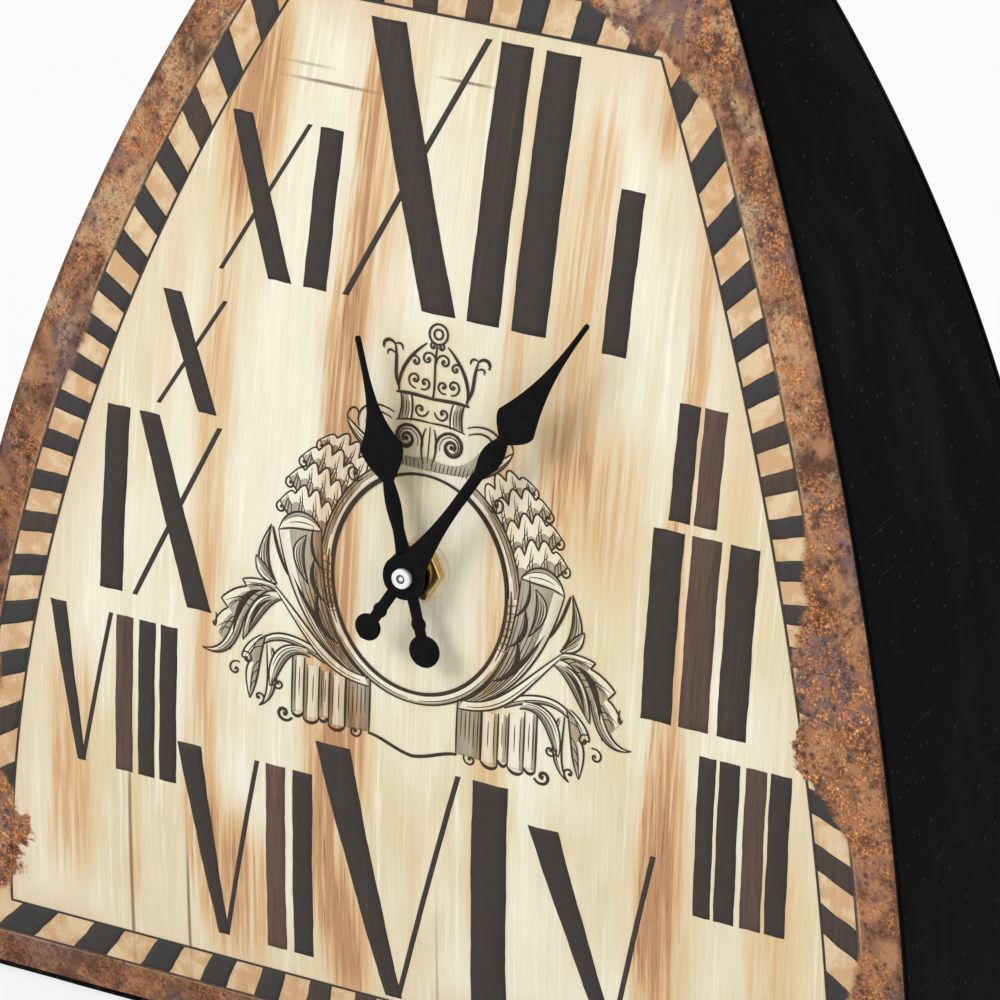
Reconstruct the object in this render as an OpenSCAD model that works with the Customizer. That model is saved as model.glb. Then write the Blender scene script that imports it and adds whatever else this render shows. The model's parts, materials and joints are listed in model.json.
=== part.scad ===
// Table clock shaped like an old bell-sided kettlebell weight: a hollow sheet-steel body that
// narrows upwards in both directions, a printed front, a fixed carrying handle on the top and
// a battery quartz movement with its gear train behind the dial.

/* [Body] */
// Width across the base
base_w = 232; // [216:2:270]
// Height of the sheet body, without feet and handle
body_h = 248; // [236:1:280]
// Width across the top, where the side walls end after bowing in from upright at the base
top_w = 103.4; // [96:0.2:130]
// Depth of the body where it is deepest
belly_depth = 86.8; // [84:0.2:110]
// Depth at the top, where the bowed front and back end
top_depth = 33.4; // [30:0.2:50]
// Height above the base at which the body is deepest
belly_z = 70.5; // [62:0.5:90]
// Thickness of the sheet steel
sheet_t = 1; // [0.8:0.1:1.6]
// Width of the flanges folded in along the side walls
flange_w = 12; // [9:0.5:18]
// Height of the lips of the base tray and the top tray
tray_lip = 10; // [6:0.5:14]
// Thickness of the felt under the base
felt_t = 2; // [1:0.5:4]
// Width of the reach-in opening in the back
access_w = 92; // [80:1:106]
// Height of the reach-in opening in the back
access_h = 92; // [80:1:106]
// Corner radius of the reach-in opening
access_corner = 14; // [4:1:30]
// Diameter of the screws that hold the back
screw_d = 3; // [2:0.1:4]

/* [Handle] */
// Diameter of the handle's round bar
bar_d = 12.5; // [9:0.5:14]
// Distance between the handle's two legs
leg_spacing = 66; // [52:1:70]
// Clear height under the handle's grip
grip_clear = 32; // [26:1:60]
// Bend radius of the handle's corners, on the bar's centre line
bend_radius = 17; // [13:0.5:22]
// Diameter of the collars round the handle's legs
collar_d = 21; // [18:0.5:23]
// Height of the collars
collar_h = 6; // [4:0.5:10]
// Diameter of the threaded studs under the legs
stud_d = 6; // [4:0.5:8]

/* [Hands] */
// Height of the dial's centre above the base
pivot_z = 118.2; // [112:0.2:126]
// Length of the minute hand from the centre to its tip
minute_len = 72.4; // [60:0.2:84]
// Length of the hour hand from the centre to its tip
hour_len = 50.6; // [40:0.2:58]
// Length of the minute hand's tail, to the middle of its disc
minute_tail = 14.6; // [12:0.1:20]
// Length of the hour hand's tail, to the middle of its disc
hour_tail = 16.3; // [12:0.1:20]
// Width of the minute hand's spade
minute_spade_w = 9.4; // [6:0.2:14]
// Width of the hour hand's spade
hour_spade_w = 10; // [6:0.2:16]
// Thickness of the stamped hands
hand_t = 0.6; // [0.4:0.1:0.8]
// Angle of the minute hand as shown, clockwise from twelve
minute_angle = 31.4; // [0:0.1:60]
// Angle of the hour hand as shown, clockwise from twelve
hour_angle = -17; // [-30:0.1:0]

/* [Movement] */
// Width and height of the movement's case
case_w = 58; // [57:0.1:62]
// Depth of the movement's case
case_depth = 16; // [15.6:0.1:18]
// Wall of the movement's case
case_wall = 1.5; // [1:0.1:1.7]
// Thickness of the rubber gasket between the case and the front
gasket_t = 1; // [0.8:0.1:2]
// Diameter of the rubber gasket
gasket_d = 24; // [18:0.5:32]
// Outside diameter of the threaded bush
bush_d = 8; // [7.4:0.1:9]
// Length of the threaded bush in front of the dial
bush_reach = 3.4; // [3:0.1:3.8]
// Across flats of the nut on the bush
nut_af = 11; // [10.5:0.1:13]
// Outside diameter of the hour pipe
hour_pipe_d = 5; // [4.6:0.1:5.4]
// Outside diameter of the minute pipe
minute_pipe_d = 3.2; // [2.6:0.1:3.4]
// Diameter of the seconds arbor
seconds_arbor_d = 1; // [0.8:0.05:1.2]
// Diameter of the pivots of the wheels
pivot_d = 1.2; // [0.8:0.1:1.4]
// Thickness of the wheels
wheel_t = 0.7; // [0.5:0.1:0.8]
// Diameter of the cell
cell_d = 14.5; // [13.5:0.1:14.5]
// Length of the cell with its button
cell_len = 50.5; // [48:0.1:50.5]
// Diameter of the setting knob
knob_d = 12; // [9:0.5:15]

/* [Gears] */
// Module of the cannon pinion, the minute wheel and the hour wheel
motion_module = 0.5; // [0.47:0.01:0.52]
// Module of the third wheel and the seconds pinion
third_module = 0.26; // [0.25:0.01:0.27]
// Module of the seconds wheel and the intermediate pinion
seconds_module = 0.26; // [0.24:0.01:0.27]
// Module of the intermediate wheel and the rotor pinion
rotor_module = 0.24; // [0.22:0.01:0.25]

/* [Hidden] */

ROUND = 64;       // facets of small round shapes
BIG_ROUND = 360;  // facets of the large curves of the body
seam = 0.1;       // gap between neighbouring sheets
slip = 0.05;      // radial running clearance of pipes and pivots
fit = 0.1;        // radial clearance of parts that are put together and stay
air = 0.3;        // gap between parts that only pass each other
eps = 0.01;       // overshoot of cuts

// Radius of an arc that rises rise while it moves in by run, starting upright.
function arc_radius(rise, run) = (rise * rise + run * run) / (2 * run);
side_radius = arc_radius(body_h, (base_w - top_w) / 2);
face_radius = arc_radius(body_h - belly_z, (belly_depth - top_depth) / 2);

base_z = felt_t;
top_z = base_z + body_h;
sheet_low = base_z + sheet_t + seam;
sheet_high = top_z - sheet_t - seam;

// How far the front has bowed back at a height above the base.
function bow(h) = face_radius - sqrt(pow(face_radius, 2) - pow(h - belly_z, 2));
// Lean of the front at a height above the base, in degrees.
function lean(h) = asin((h - belly_z) / face_radius);
// Half depth and half width of the body at a height above its base.
function half_depth(h) = belly_depth / 2 - bow(h);
function half_width(h) = base_w / 2 - side_radius + sqrt(pow(side_radius, 2) - h * h);

// Places children on the front at a height: x to the right, y up along the sheet, z outwards.
module on_front(h) {
    translate([0, face_radius - belly_depth / 2, base_z + belly_z])
        rotate([-lean(h), 0, 0])
            translate([0, -face_radius, 0])
                rotate([90, 0, 0])
                    children();
}

// The same on the back, which mirrors the front.
module on_back(h) {
    mirror([0, 1, 0]) on_front(h) children();
}

// The round that bounds the front, and the one that bounds the right side.
module front_round(inset) {
    translate([0, face_radius - belly_depth / 2, base_z + belly_z])
        rotate([0, 90, 0])
            cylinder(r = face_radius - inset, h = 2 * base_w, center = true, $fn = BIG_ROUND);
}

module side_round(inset) {
    translate([base_w / 2 - side_radius, 0, base_z])
        rotate([90, 0, 0])
            cylinder(r = side_radius - inset, h = 2 * belly_depth, center = true, $fn = BIG_ROUND);
}

module both_sides(inset) {
    intersection() {
        side_round(inset);
        mirror([1, 0, 0]) side_round(inset);
    }
}

// The bell-sided solid between two heights, inset from the sides and from the front and back.
module bell(side_in, face_in, z0, z1) {
    intersection() {
        translate([-base_w, -belly_depth, z0]) cube([2 * base_w, 2 * belly_depth, z1 - z0]);
        both_sides(side_in);
        front_round(face_in);
        mirror([0, 1, 0]) front_round(face_in);
    }
}

// A disc or a ring in a plane, and a rectangle with round corners.
module ring(outer, inner) {
    difference() {
        circle(d = outer, $fn = ROUND);
        circle(d = inner, $fn = ROUND);
    }
}

module rounded(w, h, r) {
    union() {
        square([w - 2 * r, h], center = true);
        square([w, h - 2 * r], center = true);
        for (sx = [-1, 1], sy = [-1, 1])
            translate([sx * (w / 2 - r), sy * (h / 2 - r)]) circle(r = r, $fn = ROUND);
    }
}

/* body */

// The bowed sheet, without holes; the back is its mirror.
module bowed_sheet() {
    difference() {
        bell(0, 0, sheet_low, sheet_high);
        front_round(sheet_t);
    }
}

module front_panel() {
    color("wheat") difference() {
        bowed_sheet();
        on_front(pivot_z)
            translate([0, 0, -2 * sheet_t]) cylinder(d = bush_d + 2 * fit, h = 4 * sheet_t, $fn = ROUND);
    }
}

screw_heights = [26, body_h / 2, body_h - 26];
function screw_x(h) = half_width(h) - sheet_t - (flange_w - sheet_t) / 2;

// Where the back's screws go, on both edges.
module at_screws(side) {
    for (h = screw_heights)
        on_back(h) translate([side * screw_x(h), 0, 0]) children();
}

module back_panel() {
    color("dimgray") difference() {
        mirror([0, 1, 0]) bowed_sheet();
        on_back(pivot_z)
            translate([0, 0, -3 * sheet_t])
                linear_extrude(6 * sheet_t) rounded(access_w, access_h, access_corner);
        for (side = [-1, 1])
            at_screws(side)
                translate([0, 0, -2 * sheet_t]) cylinder(d = screw_d + 2 * fit, h = 4 * sheet_t, $fn = ROUND);
    }
}

// A side wall with its two folded flanges and the holes for the back's screws.
module side_sheet(side) {
    difference() {
        bell(0, sheet_t + seam, sheet_low, sheet_high);
        bell(sheet_t, 2 * sheet_t + seam, base_z - 1, top_z + 1);
        both_sides(flange_w);
        translate([side > 0 ? -base_w : 0, -belly_depth, 0]) cube([base_w, 2 * belly_depth, 2 * top_z]);
        at_screws(side)
            translate([0, 0, -4 * sheet_t]) cylinder(d = screw_d + 2 * fit, h = 6 * sheet_t, $fn = ROUND);
    }
}

module side_left() { color("#1c1b1a") side_sheet(-1); }
module side_right() { color("#1c1b1a") side_sheet(1); }

// A tray: a plate with a lip that stands inside the sheets.
module tray(plate0, lip0) {
    bell(0, 0, plate0, plate0 + sheet_t);
    difference() {
        bell(sheet_t + seam, 2 * (sheet_t + seam), lip0, lip0 + tray_lip);
        bell(2 * sheet_t + seam, 3 * sheet_t + 2 * seam, lip0 - 1, lip0 + tray_lip + 1);
    }
}

module base_tray() { color("#1c1b1a") tray(base_z, base_z + sheet_t - eps); }

module top_tray() {
    color("#1c1b1a") difference() {
        tray(top_z - sheet_t, top_z - sheet_t + eps - tray_lip);
        at_legs() translate([0, 0, -2 * sheet_t])
            cylinder(d = stud_d + 2 * fit, h = 4 * sheet_t, $fn = ROUND);
    }
}

screw_head_h = 1.2;
screw_len = 7;
module back_screws() {
    color("silver")
        for (side = [-1, 1]) at_screws(side) {
            translate([0, 0, 0.02]) difference() {
                cylinder(d = 2 * screw_d, h = screw_head_h, $fn = ROUND);
                translate([0, 0, screw_head_h]) cube([2 * screw_d + 1, screw_d / 4, screw_head_h], center = true);
            }
            translate([0, 0, 0.03 - screw_len]) cylinder(d = screw_d, h = screw_len, $fn = ROUND);
        }
}

felt_in = 2.5;
module base_felt() {
    w = base_w - 2 * felt_in;
    d = 2 * (half_depth(0) - felt_in);
    color("#202020") translate([-w / 2, -d / 2, 0]) cube([w, d, felt_t]);
}

/* handle */

washer_t = 1;
stud_nut_t = 4.5;
stud_len = sheet_t + washer_t + stud_nut_t + 3;
grip_h = grip_clear + bar_d / 2;

module at_legs() {
    for (side = [-1, 1]) translate([side * leg_spacing / 2, 0, top_z]) children();
}

module handle() {
    color("#2b2623") {
        at_legs() cylinder(d = bar_d, h = grip_h - bend_radius, $fn = ROUND);
        at_legs() translate([0, 0, -stud_len]) cylinder(d = stud_d, h = stud_len + eps, $fn = ROUND);
        for (side = [0, 1])
            mirror([side, 0, 0])
                translate([leg_spacing / 2 - bend_radius, 0, top_z + grip_h - bend_radius])
                    rotate([90, 0, 0])
                        rotate_extrude(angle = 90, $fn = 2 * ROUND)
                            translate([bend_radius, 0]) circle(d = bar_d, $fn = ROUND);
        translate([0, 0, top_z + grip_h])
            rotate([0, 90, 0])
                cylinder(d = bar_d, h = leg_spacing - 2 * bend_radius, center = true, $fn = ROUND);
    }
}

// A turned collar: a foot ring, a cove and a bead round each leg.
module handle_collars() {
    foot_ring = collar_d / 2;
    inner = bar_d / 2 + fit;
    bead = collar_h / 5;
    color("#3a322c")
        at_legs()
            rotate_extrude($fn = ROUND)
                difference() {
                    union() {
                        translate([inner, 0]) square([foot_ring - inner, collar_h / 3]);
                        translate([inner, 0]) square([bead, collar_h - bead]);
                        translate([inner + bead, collar_h - bead]) circle(r = bead, $fn = 32);
                        translate([inner, collar_h / 3]) square([(foot_ring - inner) * 0.55, collar_h / 6]);
                    }
                    square([inner, collar_h]);
                }
}

module handle_washers() {
    color("silver")
        at_legs()
            translate([0, 0, -sheet_t - seam - washer_t])
                linear_extrude(washer_t) ring(2.2 * stud_d, stud_d + 2 * fit);
}

module handle_nuts() {
    color("silver")
        at_legs()
            translate([0, 0, -sheet_t - 2 * seam - washer_t - stud_nut_t])
                linear_extrude(stud_nut_t)
                    difference() {
                        circle(d = 1.9 * stud_d, $fn = 6);
                        circle(d = stud_d + 2 * slip, $fn = ROUND);
                    }
}

/* teeth */

// Outline of a toothed wheel; share is the part of the pitch that a tooth fills.
module toothed(teeth, mod, phase, addendum, dedendum, share) {
    r = teeth * mod / 2;
    half = share * 180 / teeth;
    profile = [
        [r - dedendum * mod, -1.25 * half], [r, -half], [r + addendum * mod, -0.4 * half],
        [r + addendum * mod, 0.4 * half], [r, half], [r - dedendum * mod, 1.25 * half]
    ];
    polygon([for (i = [0:teeth - 1], p = profile)
        let (a = phase + i * 360 / teeth + p[1]) p[0] * [cos(a), sin(a)]]);
}

// A wheel has long teeth and a pinion short ones with deep gaps.
module wheel_teeth(teeth, mod, phase) { toothed(teeth, mod, phase, 0.75, 1.15, 0.4); }
module pinion_teeth(teeth, mod, phase) { toothed(teeth, mod, phase, 0.6, 1.25, 0.38); }

// Phase of a wheel at direction dir from another, so that the two are in mesh.
function meshed(teeth_a, phase_a, teeth_b, dir) =
    dir + 180 + 180 / teeth_b - (phase_a - dir) * teeth_a / teeth_b;

// Spoked wheel blank: the web with round lightening holes.
module lightened(count, at_r, hole_r) {
    difference() {
        children();
        for (i = [0:count - 1]) rotate(i * 360 / count + 30) translate([at_r, 0]) circle(r = hole_r, $fn = 32);
    }
}

cannon_n = 10;
minute_n = 30;
minute_pinion_n = 8;
hour_n = 32;
centre_n = 64;
third_pinion_n = 8;
third_n = 60;
seconds_pinion_n = 8;
seconds_n = 60;
inter_pinion_n = 10;
inter_n = 50;
rotor_pinion_n = 10;

minute_reach = (cannon_n + minute_n) * motion_module / 2;
third_reach = (third_n + seconds_pinion_n) * third_module / 2;
centre_module = 2 * third_reach / (centre_n + third_pinion_n);
inter_reach = (seconds_n + inter_pinion_n) * seconds_module / 2;
rotor_reach = (inter_n + rotor_pinion_n) * rotor_module / 2;

minute_dir = 20;
third_dir = 160;
inter_dir = 78;
rotor_dir = 40;

function polar(r, a) = [r * cos(a), r * sin(a)];
minute_at = polar(minute_reach, minute_dir);
third_at = polar(third_reach, third_dir);
inter_at = polar(inter_reach, inter_dir);
rotor_at = inter_at + polar(rotor_reach, rotor_dir);

minute_phase = meshed(cannon_n, 0, minute_n, minute_dir);
hour_phase = meshed(minute_pinion_n, 0, hour_n, minute_dir + 180);
third_pinion_phase = meshed(centre_n, 0, third_pinion_n, third_dir);
seconds_pinion_phase = meshed(third_n, 0, seconds_pinion_n, third_dir + 180);
inter_pinion_phase = meshed(seconds_n, 0, inter_pinion_n, inter_dir);
rotor_pinion_phase = meshed(inter_n, 0, rotor_pinion_n, rotor_dir);

/* movement */

// Depths behind the front face of the case.
bush_flange_t = 0.6;
gap = 0.4;
hour_d0 = case_wall + bush_flange_t + air;
hour_d1 = hour_d0 + wheel_t;
minute_d0 = hour_d1 + gap;
minute_d1 = minute_d0 + wheel_t;
plate_d0 = minute_d1 + gap + air;
plate_t = 1;
plate_d1 = plate_d0 + plate_t;
centre_d0 = plate_d1 + gap;
centre_d1 = centre_d0 + wheel_t;
third_d0 = centre_d1 + 2 * gap;
third_d1 = third_d0 + wheel_t;
seconds_d0 = third_d1 + gap;
seconds_d1 = seconds_d0 + wheel_t;
inter_d0 = seconds_d1 + gap;
inter_d1 = inter_d0 + wheel_t;
rotor_d0 = inter_d1 + gap;
magnet_t = 1.6;
magnet_d = 4.2;
cover_d0 = case_depth - case_wall;
pivot_in = case_wall / 2;

gasket_sag = bow(belly_z + gasket_d / 2);
case_z = -(sheet_t + gasket_sag + seam + gasket_t + seam);
lead = -case_z;

half_case = case_w / 2;
half_room = half_case - case_wall;
bay_wall = 0.8;
cell_y = -half_room + air + cell_d / 2;
bay_top = cell_y + cell_d / 2 + air;
room_low = bay_top + bay_wall;
room_h = half_room - room_low;
cell_depth = case_wall + air + cell_d / 2;

// The frame of the movement: x to the right, y up, z = 0 on the front face of the case.
module movement() { on_front(pivot_z) translate([0, 0, case_z]) children(); }

// Everything between two depths: a round, a ring, or children in the plane.
module between(d0, d1) { translate([0, 0, -d1]) linear_extrude(d1 - d0) children(); }
module rod(d, d0, d1) { translate([0, 0, -d1]) cylinder(d = d, h = d1 - d0, $fn = ROUND); }

post_d = 4;
module at_posts() {
    for (sx = [-1, 1], y = [room_low + post_d / 2, half_room - post_d / 2])
        translate([sx * (half_room - post_d / 2), y]) children();
}

module room_outline(clearance) {
    translate([-half_room + clearance, room_low + clearance])
        square([2 * (half_room - clearance), room_h - 2 * clearance]);
}

// Front half of the case: a square box open to the back, with a bay for the cell.
module case_front() {
    color("#26282a") movement() difference() {
        union() {
            difference() {
                between(0, case_depth) rounded(case_w, case_w, 2.5);
                between(case_wall, case_depth + 1) room_outline(0);
                between(case_wall, case_depth + 1)
                    translate([-half_room, -half_room]) square([2 * half_room, bay_top + half_room]);
            }
            at_posts() rod(post_d, case_wall - eps, plate_d0 - seam);
        }
        rod(bush_d + 2 * fit, -1, case_wall + 1);
        translate(minute_at) rod(pivot_d + 2 * slip, case_wall - pivot_in, case_wall + 1);
    }
}

// The plate between the hands' wheels and the going train.
module mid_plate() {
    color("#e8e4d8") movement() difference() {
        between(plate_d0, plate_d1) room_outline(fit);
        rod(minute_pipe_d + 2 * slip, 0, case_depth);
        translate(minute_at) rod(knob_arbor_d + 2 * slip, 0, case_depth);
        translate(third_at) rod(pivot_d + 2 * slip, 0, case_depth);
        translate(inter_at) rod(pivot_d + 2 * slip, 0, case_depth);
        translate(rotor_at) rod(pivot_d + 2 * slip, 0, case_depth);
    }
}

// The cover that closes the train, with its four posts down to the plate.
module case_back() {
    color("#26282a") movement() difference() {
        union() {
            between(cover_d0, case_depth) room_outline(fit);
            at_posts() rod(post_d - 2 * fit, plate_d1 + seam, cover_d0 + eps);
        }
        rod(seconds_arbor_d + 2 * slip, 0, cover_d0 + pivot_in);
        translate(minute_at) rod(knob_arbor_d + 2 * slip, 0, case_depth + 1);
        translate(third_at) rod(pivot_d + 2 * slip, 0, cover_d0 + pivot_in);
        translate(inter_at) rod(pivot_d + 2 * slip, 0, cover_d0 + pivot_in);
        translate(rotor_at) rod(pivot_d + 2 * slip, 0, cover_d0 + pivot_in);
    }
}

// Threaded bush, moulded round with a flange inside the case.
module threaded_bush() {
    color("goldenrod") movement() difference() {
        union() {
            rod(bush_d, -lead - bush_reach, case_wall + 0.5 * bush_flange_t);
            rod(bush_d + 4, case_wall + seam / 2, case_wall + bush_flange_t);
        }
        rod(hour_pipe_d + 2 * slip, -lead - bush_reach - 1, case_depth);
    }
}

module rubber_gasket() {
    color("#1a1a1a") movement() between(-gasket_t - seam / 2, -seam / 2) ring(gasket_d, bush_d + 2 * fit);
}

front_washer_t = 0.5;
front_nut_t = 2;
module bush_washer() {
    color("goldenrod") on_front(pivot_z) translate([0, 0, seam / 2])
        linear_extrude(front_washer_t) ring(nut_af + 3, bush_d + 2 * fit);
}

module bush_nut() {
    color("goldenrod") on_front(pivot_z) translate([0, 0, seam + front_washer_t])
        linear_extrude(front_nut_t)
            difference() {
                circle(d = nut_af / cos(30), $fn = 6);
                circle(d = bush_d + 2 * slip, $fn = ROUND);
            }
}

/* hands' wheels */

// Heights of the hands above the dial.
hand_collet = 0.6;
hour_hand_z = bush_reach + air + hand_collet;
hour_pipe_z = hour_hand_z + hand_t + air;
minute_hand_z = hour_pipe_z + air + hand_collet;
nut_t = 1.3;
nut_wall = 0.6;
minute_pipe_z = minute_hand_z + hand_t + 0.8 * nut_t;

module hour_wheel() {
    color("#e9d9a8") movement() difference() {
        union() {
            between(hour_d0, hour_d1)
                lightened(4, 0.62 * hour_n * motion_module / 2, 1.7)
                    wheel_teeth(hour_n, motion_module, hour_phase);
            rod(hour_pipe_d, -lead - hour_pipe_z, hour_d1);
        }
        rod(minute_pipe_d + 2 * slip, -lead - hour_pipe_z - 1, case_depth);
    }
}

// Minute pipe with the cannon pinion; its rear end turns in the centre wheel with friction.
module minute_pipe() {
    color("goldenrod") movement() difference() {
        union() {
            between(minute_d0 - gap / 2, minute_d1 + gap / 2) pinion_teeth(cannon_n, motion_module, 0);
            rod(minute_pipe_d, -lead - minute_pipe_z, centre_d1 + gap / 2);
        }
        rod(seconds_arbor_d + 2 * slip, -lead - minute_pipe_z - 1, case_depth);
    }
}

knob_arbor_d = 1.8;
knob_gap = 0.5;
knob_t = 4;
module minute_wheel() {
    color("#f2f0ea") movement() translate(minute_at) {
        between(minute_d0, minute_d1)
            lightened(3, 0.55 * minute_n * motion_module / 2, 1.6)
                wheel_teeth(minute_n, motion_module, minute_phase);
        between(hour_d0 - air / 2, minute_d0 + eps) pinion_teeth(minute_pinion_n, motion_module, 0);
        rod(pivot_d, case_wall - pivot_in + slip, hour_d0);
        rod(knob_arbor_d, minute_d1 - eps, case_depth + knob_gap + 0.6 * knob_t);
    }
}

// Knurled knob on the minute wheel's arbor.
module setting_knob() {
    grips = 24;
    color("#2e3033") movement() translate(minute_at) difference() {
        between(case_depth + knob_gap, case_depth + knob_gap + knob_t)
            polygon([for (i = [0:2 * grips - 1])
                (knob_d / 2 - (i % 2) * 0.35) * [cos(i * 180 / grips), sin(i * 180 / grips)]]);
        rod(knob_arbor_d + 2 * slip, 0, case_depth + knob_gap + 0.6 * knob_t + slip);
    }
}

/* going train */

module centre_wheel() {
    color("#e9d9a8") movement() difference() {
        between(centre_d0, centre_d1)
            lightened(4, 0.62 * centre_n * centre_module / 2, 1.6)
                wheel_teeth(centre_n, centre_module, 0);
        rod(minute_pipe_d + 2 * slip, 0, case_depth);
    }
}

module third_wheel() {
    color("#f2f0ea") movement() translate(third_at) {
        between(third_d0, third_d1)
            lightened(4, 0.6 * third_n * third_module / 2, 1.6)
                wheel_teeth(third_n, third_module, 0);
        between(centre_d0 - gap / 2, third_d0 + eps)
            pinion_teeth(third_pinion_n, centre_module, third_pinion_phase);
        rod(pivot_d, plate_d0, cover_d0 + pivot_in - slip);
    }
}

module seconds_wheel() {
    color("#f2f0ea") movement() {
        between(seconds_d0, seconds_d1)
            lightened(4, 0.62 * seconds_n * seconds_module / 2, 1.6)
                wheel_teeth(seconds_n, seconds_module, 0);
        between(third_d0 - gap / 2, seconds_d0 + eps)
            pinion_teeth(seconds_pinion_n, third_module, seconds_pinion_phase);
        rod(seconds_arbor_d, -lead - minute_pipe_z, cover_d0 + pivot_in - slip);
    }
}

module intermediate_wheel() {
    color("#f2f0ea") movement() translate(inter_at) {
        between(inter_d0, inter_d1)
            lightened(3, 0.55 * inter_n * rotor_module / 2, 1.3)
                wheel_teeth(inter_n, rotor_module, 0);
        between(seconds_d0 - gap / 2, inter_d0 + eps)
            pinion_teeth(inter_pinion_n, seconds_module, inter_pinion_phase);
        rod(pivot_d, plate_d0, cover_d0 + pivot_in - slip);
    }
}

// Rotor: its pinion and the small round magnet.
module rotor() {
    color("#6a6e72") movement() translate(rotor_at) {
        between(inter_d0 - gap / 2, rotor_d0 + eps)
            pinion_teeth(rotor_pinion_n, rotor_module, rotor_pinion_phase);
        rod(magnet_d, rotor_d0, rotor_d0 + magnet_t);
        rod(pivot_d, plate_d0, cover_d0 + pivot_in - slip);
    }
}

/* motor and circuit */

stator_t = 0.8;
stator_d0 = rotor_d0 + (magnet_t - stator_t) / 2;
coil_len = 20;
coil_d = 4;
core_t = 1.6;
coil_y = half_room - coil_d / 2 - 1.2;
coil_x = rotor_at[0] - 5;
leg_w = 4.5;
bridge_half = 3.6;
// The soft-iron loop: a bridge round the magnet and two legs up to the coil's core.
module stator() {
    half_span = coil_len / 2 + leg_w / 2;
    color("#9aa0a6") movement() {
        between(stator_d0, stator_d0 + stator_t) difference() {
            union() {
                for (side = [-1, 1])
                    translate([coil_x + side * half_span - leg_w / 2, rotor_at[1] - bridge_half])
                        square([leg_w, coil_y + leg_w / 2 - rotor_at[1] + bridge_half]);
                translate([coil_x - half_span, rotor_at[1] - bridge_half])
                    square([2 * half_span, 2 * bridge_half]);
            }
            translate(rotor_at) circle(d = magnet_d + 2 * air + 0.6, $fn = ROUND);
        }
        translate([coil_x, coil_y, -stator_d0 - stator_t / 2])
            rotate([0, 90, 0]) cylinder(d = core_t, h = coil_len + 2 * leg_w - 1, center = true, $fn = 32);
    }
}

// The wound coil on its bobbin, sleeved over the core.
module coil() {
    flange_t = 0.8;
    color("#b5652a") movement()
        translate([coil_x, coil_y, -stator_d0 - stator_t / 2])
            rotate([0, 90, 0])
                rotate_extrude($fn = ROUND) {
                    inner = core_t / 2 + slip;
                    translate([inner, -coil_len / 2 + fit]) square([coil_d / 2 - inner, coil_len - 2 * fit]);
                    for (side = [-1, 1])
                        translate([inner, side * (coil_len / 2 - fit - flange_t / 2) - flange_t / 2])
                            square([coil_d / 2 + 0.4 - inner, flange_t]);
                }
}

board_w = 13;
board_h = 22;
board_t = 0.8;
board_x = -half_room + post_d / 4 + board_w / 2 + air;
board_y = room_low + post_d + air + board_h / 2;
board_d0 = cover_d0 - 3.4;
module circuit_board() {
    color("#1e6b3a") movement()
        translate([board_x, board_y]) difference() {
            union() {
                between(board_d0, board_d0 + board_t) square([board_w, board_h], center = true);
                for (y = [-1, 1])
                    translate([0, y * (board_h / 2 - 2)]) rod(2, board_d0, cover_d0 - seam);
            }
            for (x = [-1, 1], y = [-1, 1])
                translate([x * (board_w / 2 - 1.6), y * (board_h / 2 - 1.6)])
                    rod(1, board_d0 - 1, board_d0 + board_t + 1);
        }
}

module quartz_crystal() {
    color("silver") movement()
        translate([board_x + 3.6, board_y, -board_d0 - board_t - 1.05])
            rotate([90, 0, 0]) cylinder(d = 2, h = 6, center = true, $fn = 32);
}

module timing_chip() {
    color("#101010") movement()
        translate([board_x - 2.4, board_y, -board_d0 - board_t - 0.02])
            rotate([0, 180, 0])
                intersection() {
                    translate([0, 0, -2.4]) sphere(d = 7, $fn = ROUND);
                    cylinder(d = 6, h = 2, $fn = ROUND);
                }
}

button_d = 5.4;
button_l = 1.4;
module battery() {
    color("#3b3e42") movement()
        translate([0, cell_y, -cell_depth])
            rotate([0, 90, 0])
                rotate_extrude($fn = ROUND)
                    polygon([
                        [0, -cell_len / 2], [cell_d / 2 - 0.8, -cell_len / 2], [cell_d / 2, -cell_len / 2 + 0.8],
                        [cell_d / 2, cell_len / 2 - button_l - 0.8], [cell_d / 2 - 0.8, cell_len / 2 - button_l],
                        [button_d / 2, cell_len / 2 - button_l], [button_d / 2, cell_len / 2], [0, cell_len / 2]
                    ]);
}

// A flat plate at the button's end and a bent leaf at the other.
contact_t = 0.4;
contact_w = 8;
module battery_contacts() {
    end_gap = half_room - cell_len / 2;
    color("gainsboro") movement() {
        translate([half_room - seam - contact_t, cell_y - contact_w / 2, -cell_depth - contact_w / 2])
            cube([contact_t, contact_w, contact_w]);
        translate([cell_len / 2 + seam, cell_y - button_d / 2, -cell_depth - button_d / 2])
            cube([end_gap - 2 * seam - contact_t / 2, button_d, contact_t]);
        translate([-half_room + seam, cell_y - contact_w / 2, -cell_depth - contact_w / 2])
            cube([contact_t, contact_w, contact_w]);
        translate([-half_room + seam + contact_t / 2, cell_y - contact_w / 4, -cell_depth - contact_t / 2])
            cube([end_gap - 2 * seam - contact_t / 2, contact_w / 2, contact_t]);
    }
}

/* hands */

// A hand's shape: [hub, arm width, tip width, tail disc, collar width, where the collar, the neck and
// the spade's shoulder are along the hand as shares of its length, how slender the spade tapers].
minute_shape = [9.6, 2.6, 1.5, 5.9, 5.1, 0.48, 0.545, 0.615, 2.1];
hour_shape = [10, 2.6, 2, 7, 3.7, 0.292, 0.39, 0.52, 2.7];
foot_reach = 2.2;  // how far the arm's foot spreads, in hubs
foot_share = 0.6;  // how wide it spreads at the hub
tail_bead = 1.3;   // width of the bead on the tail, in arms

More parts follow.
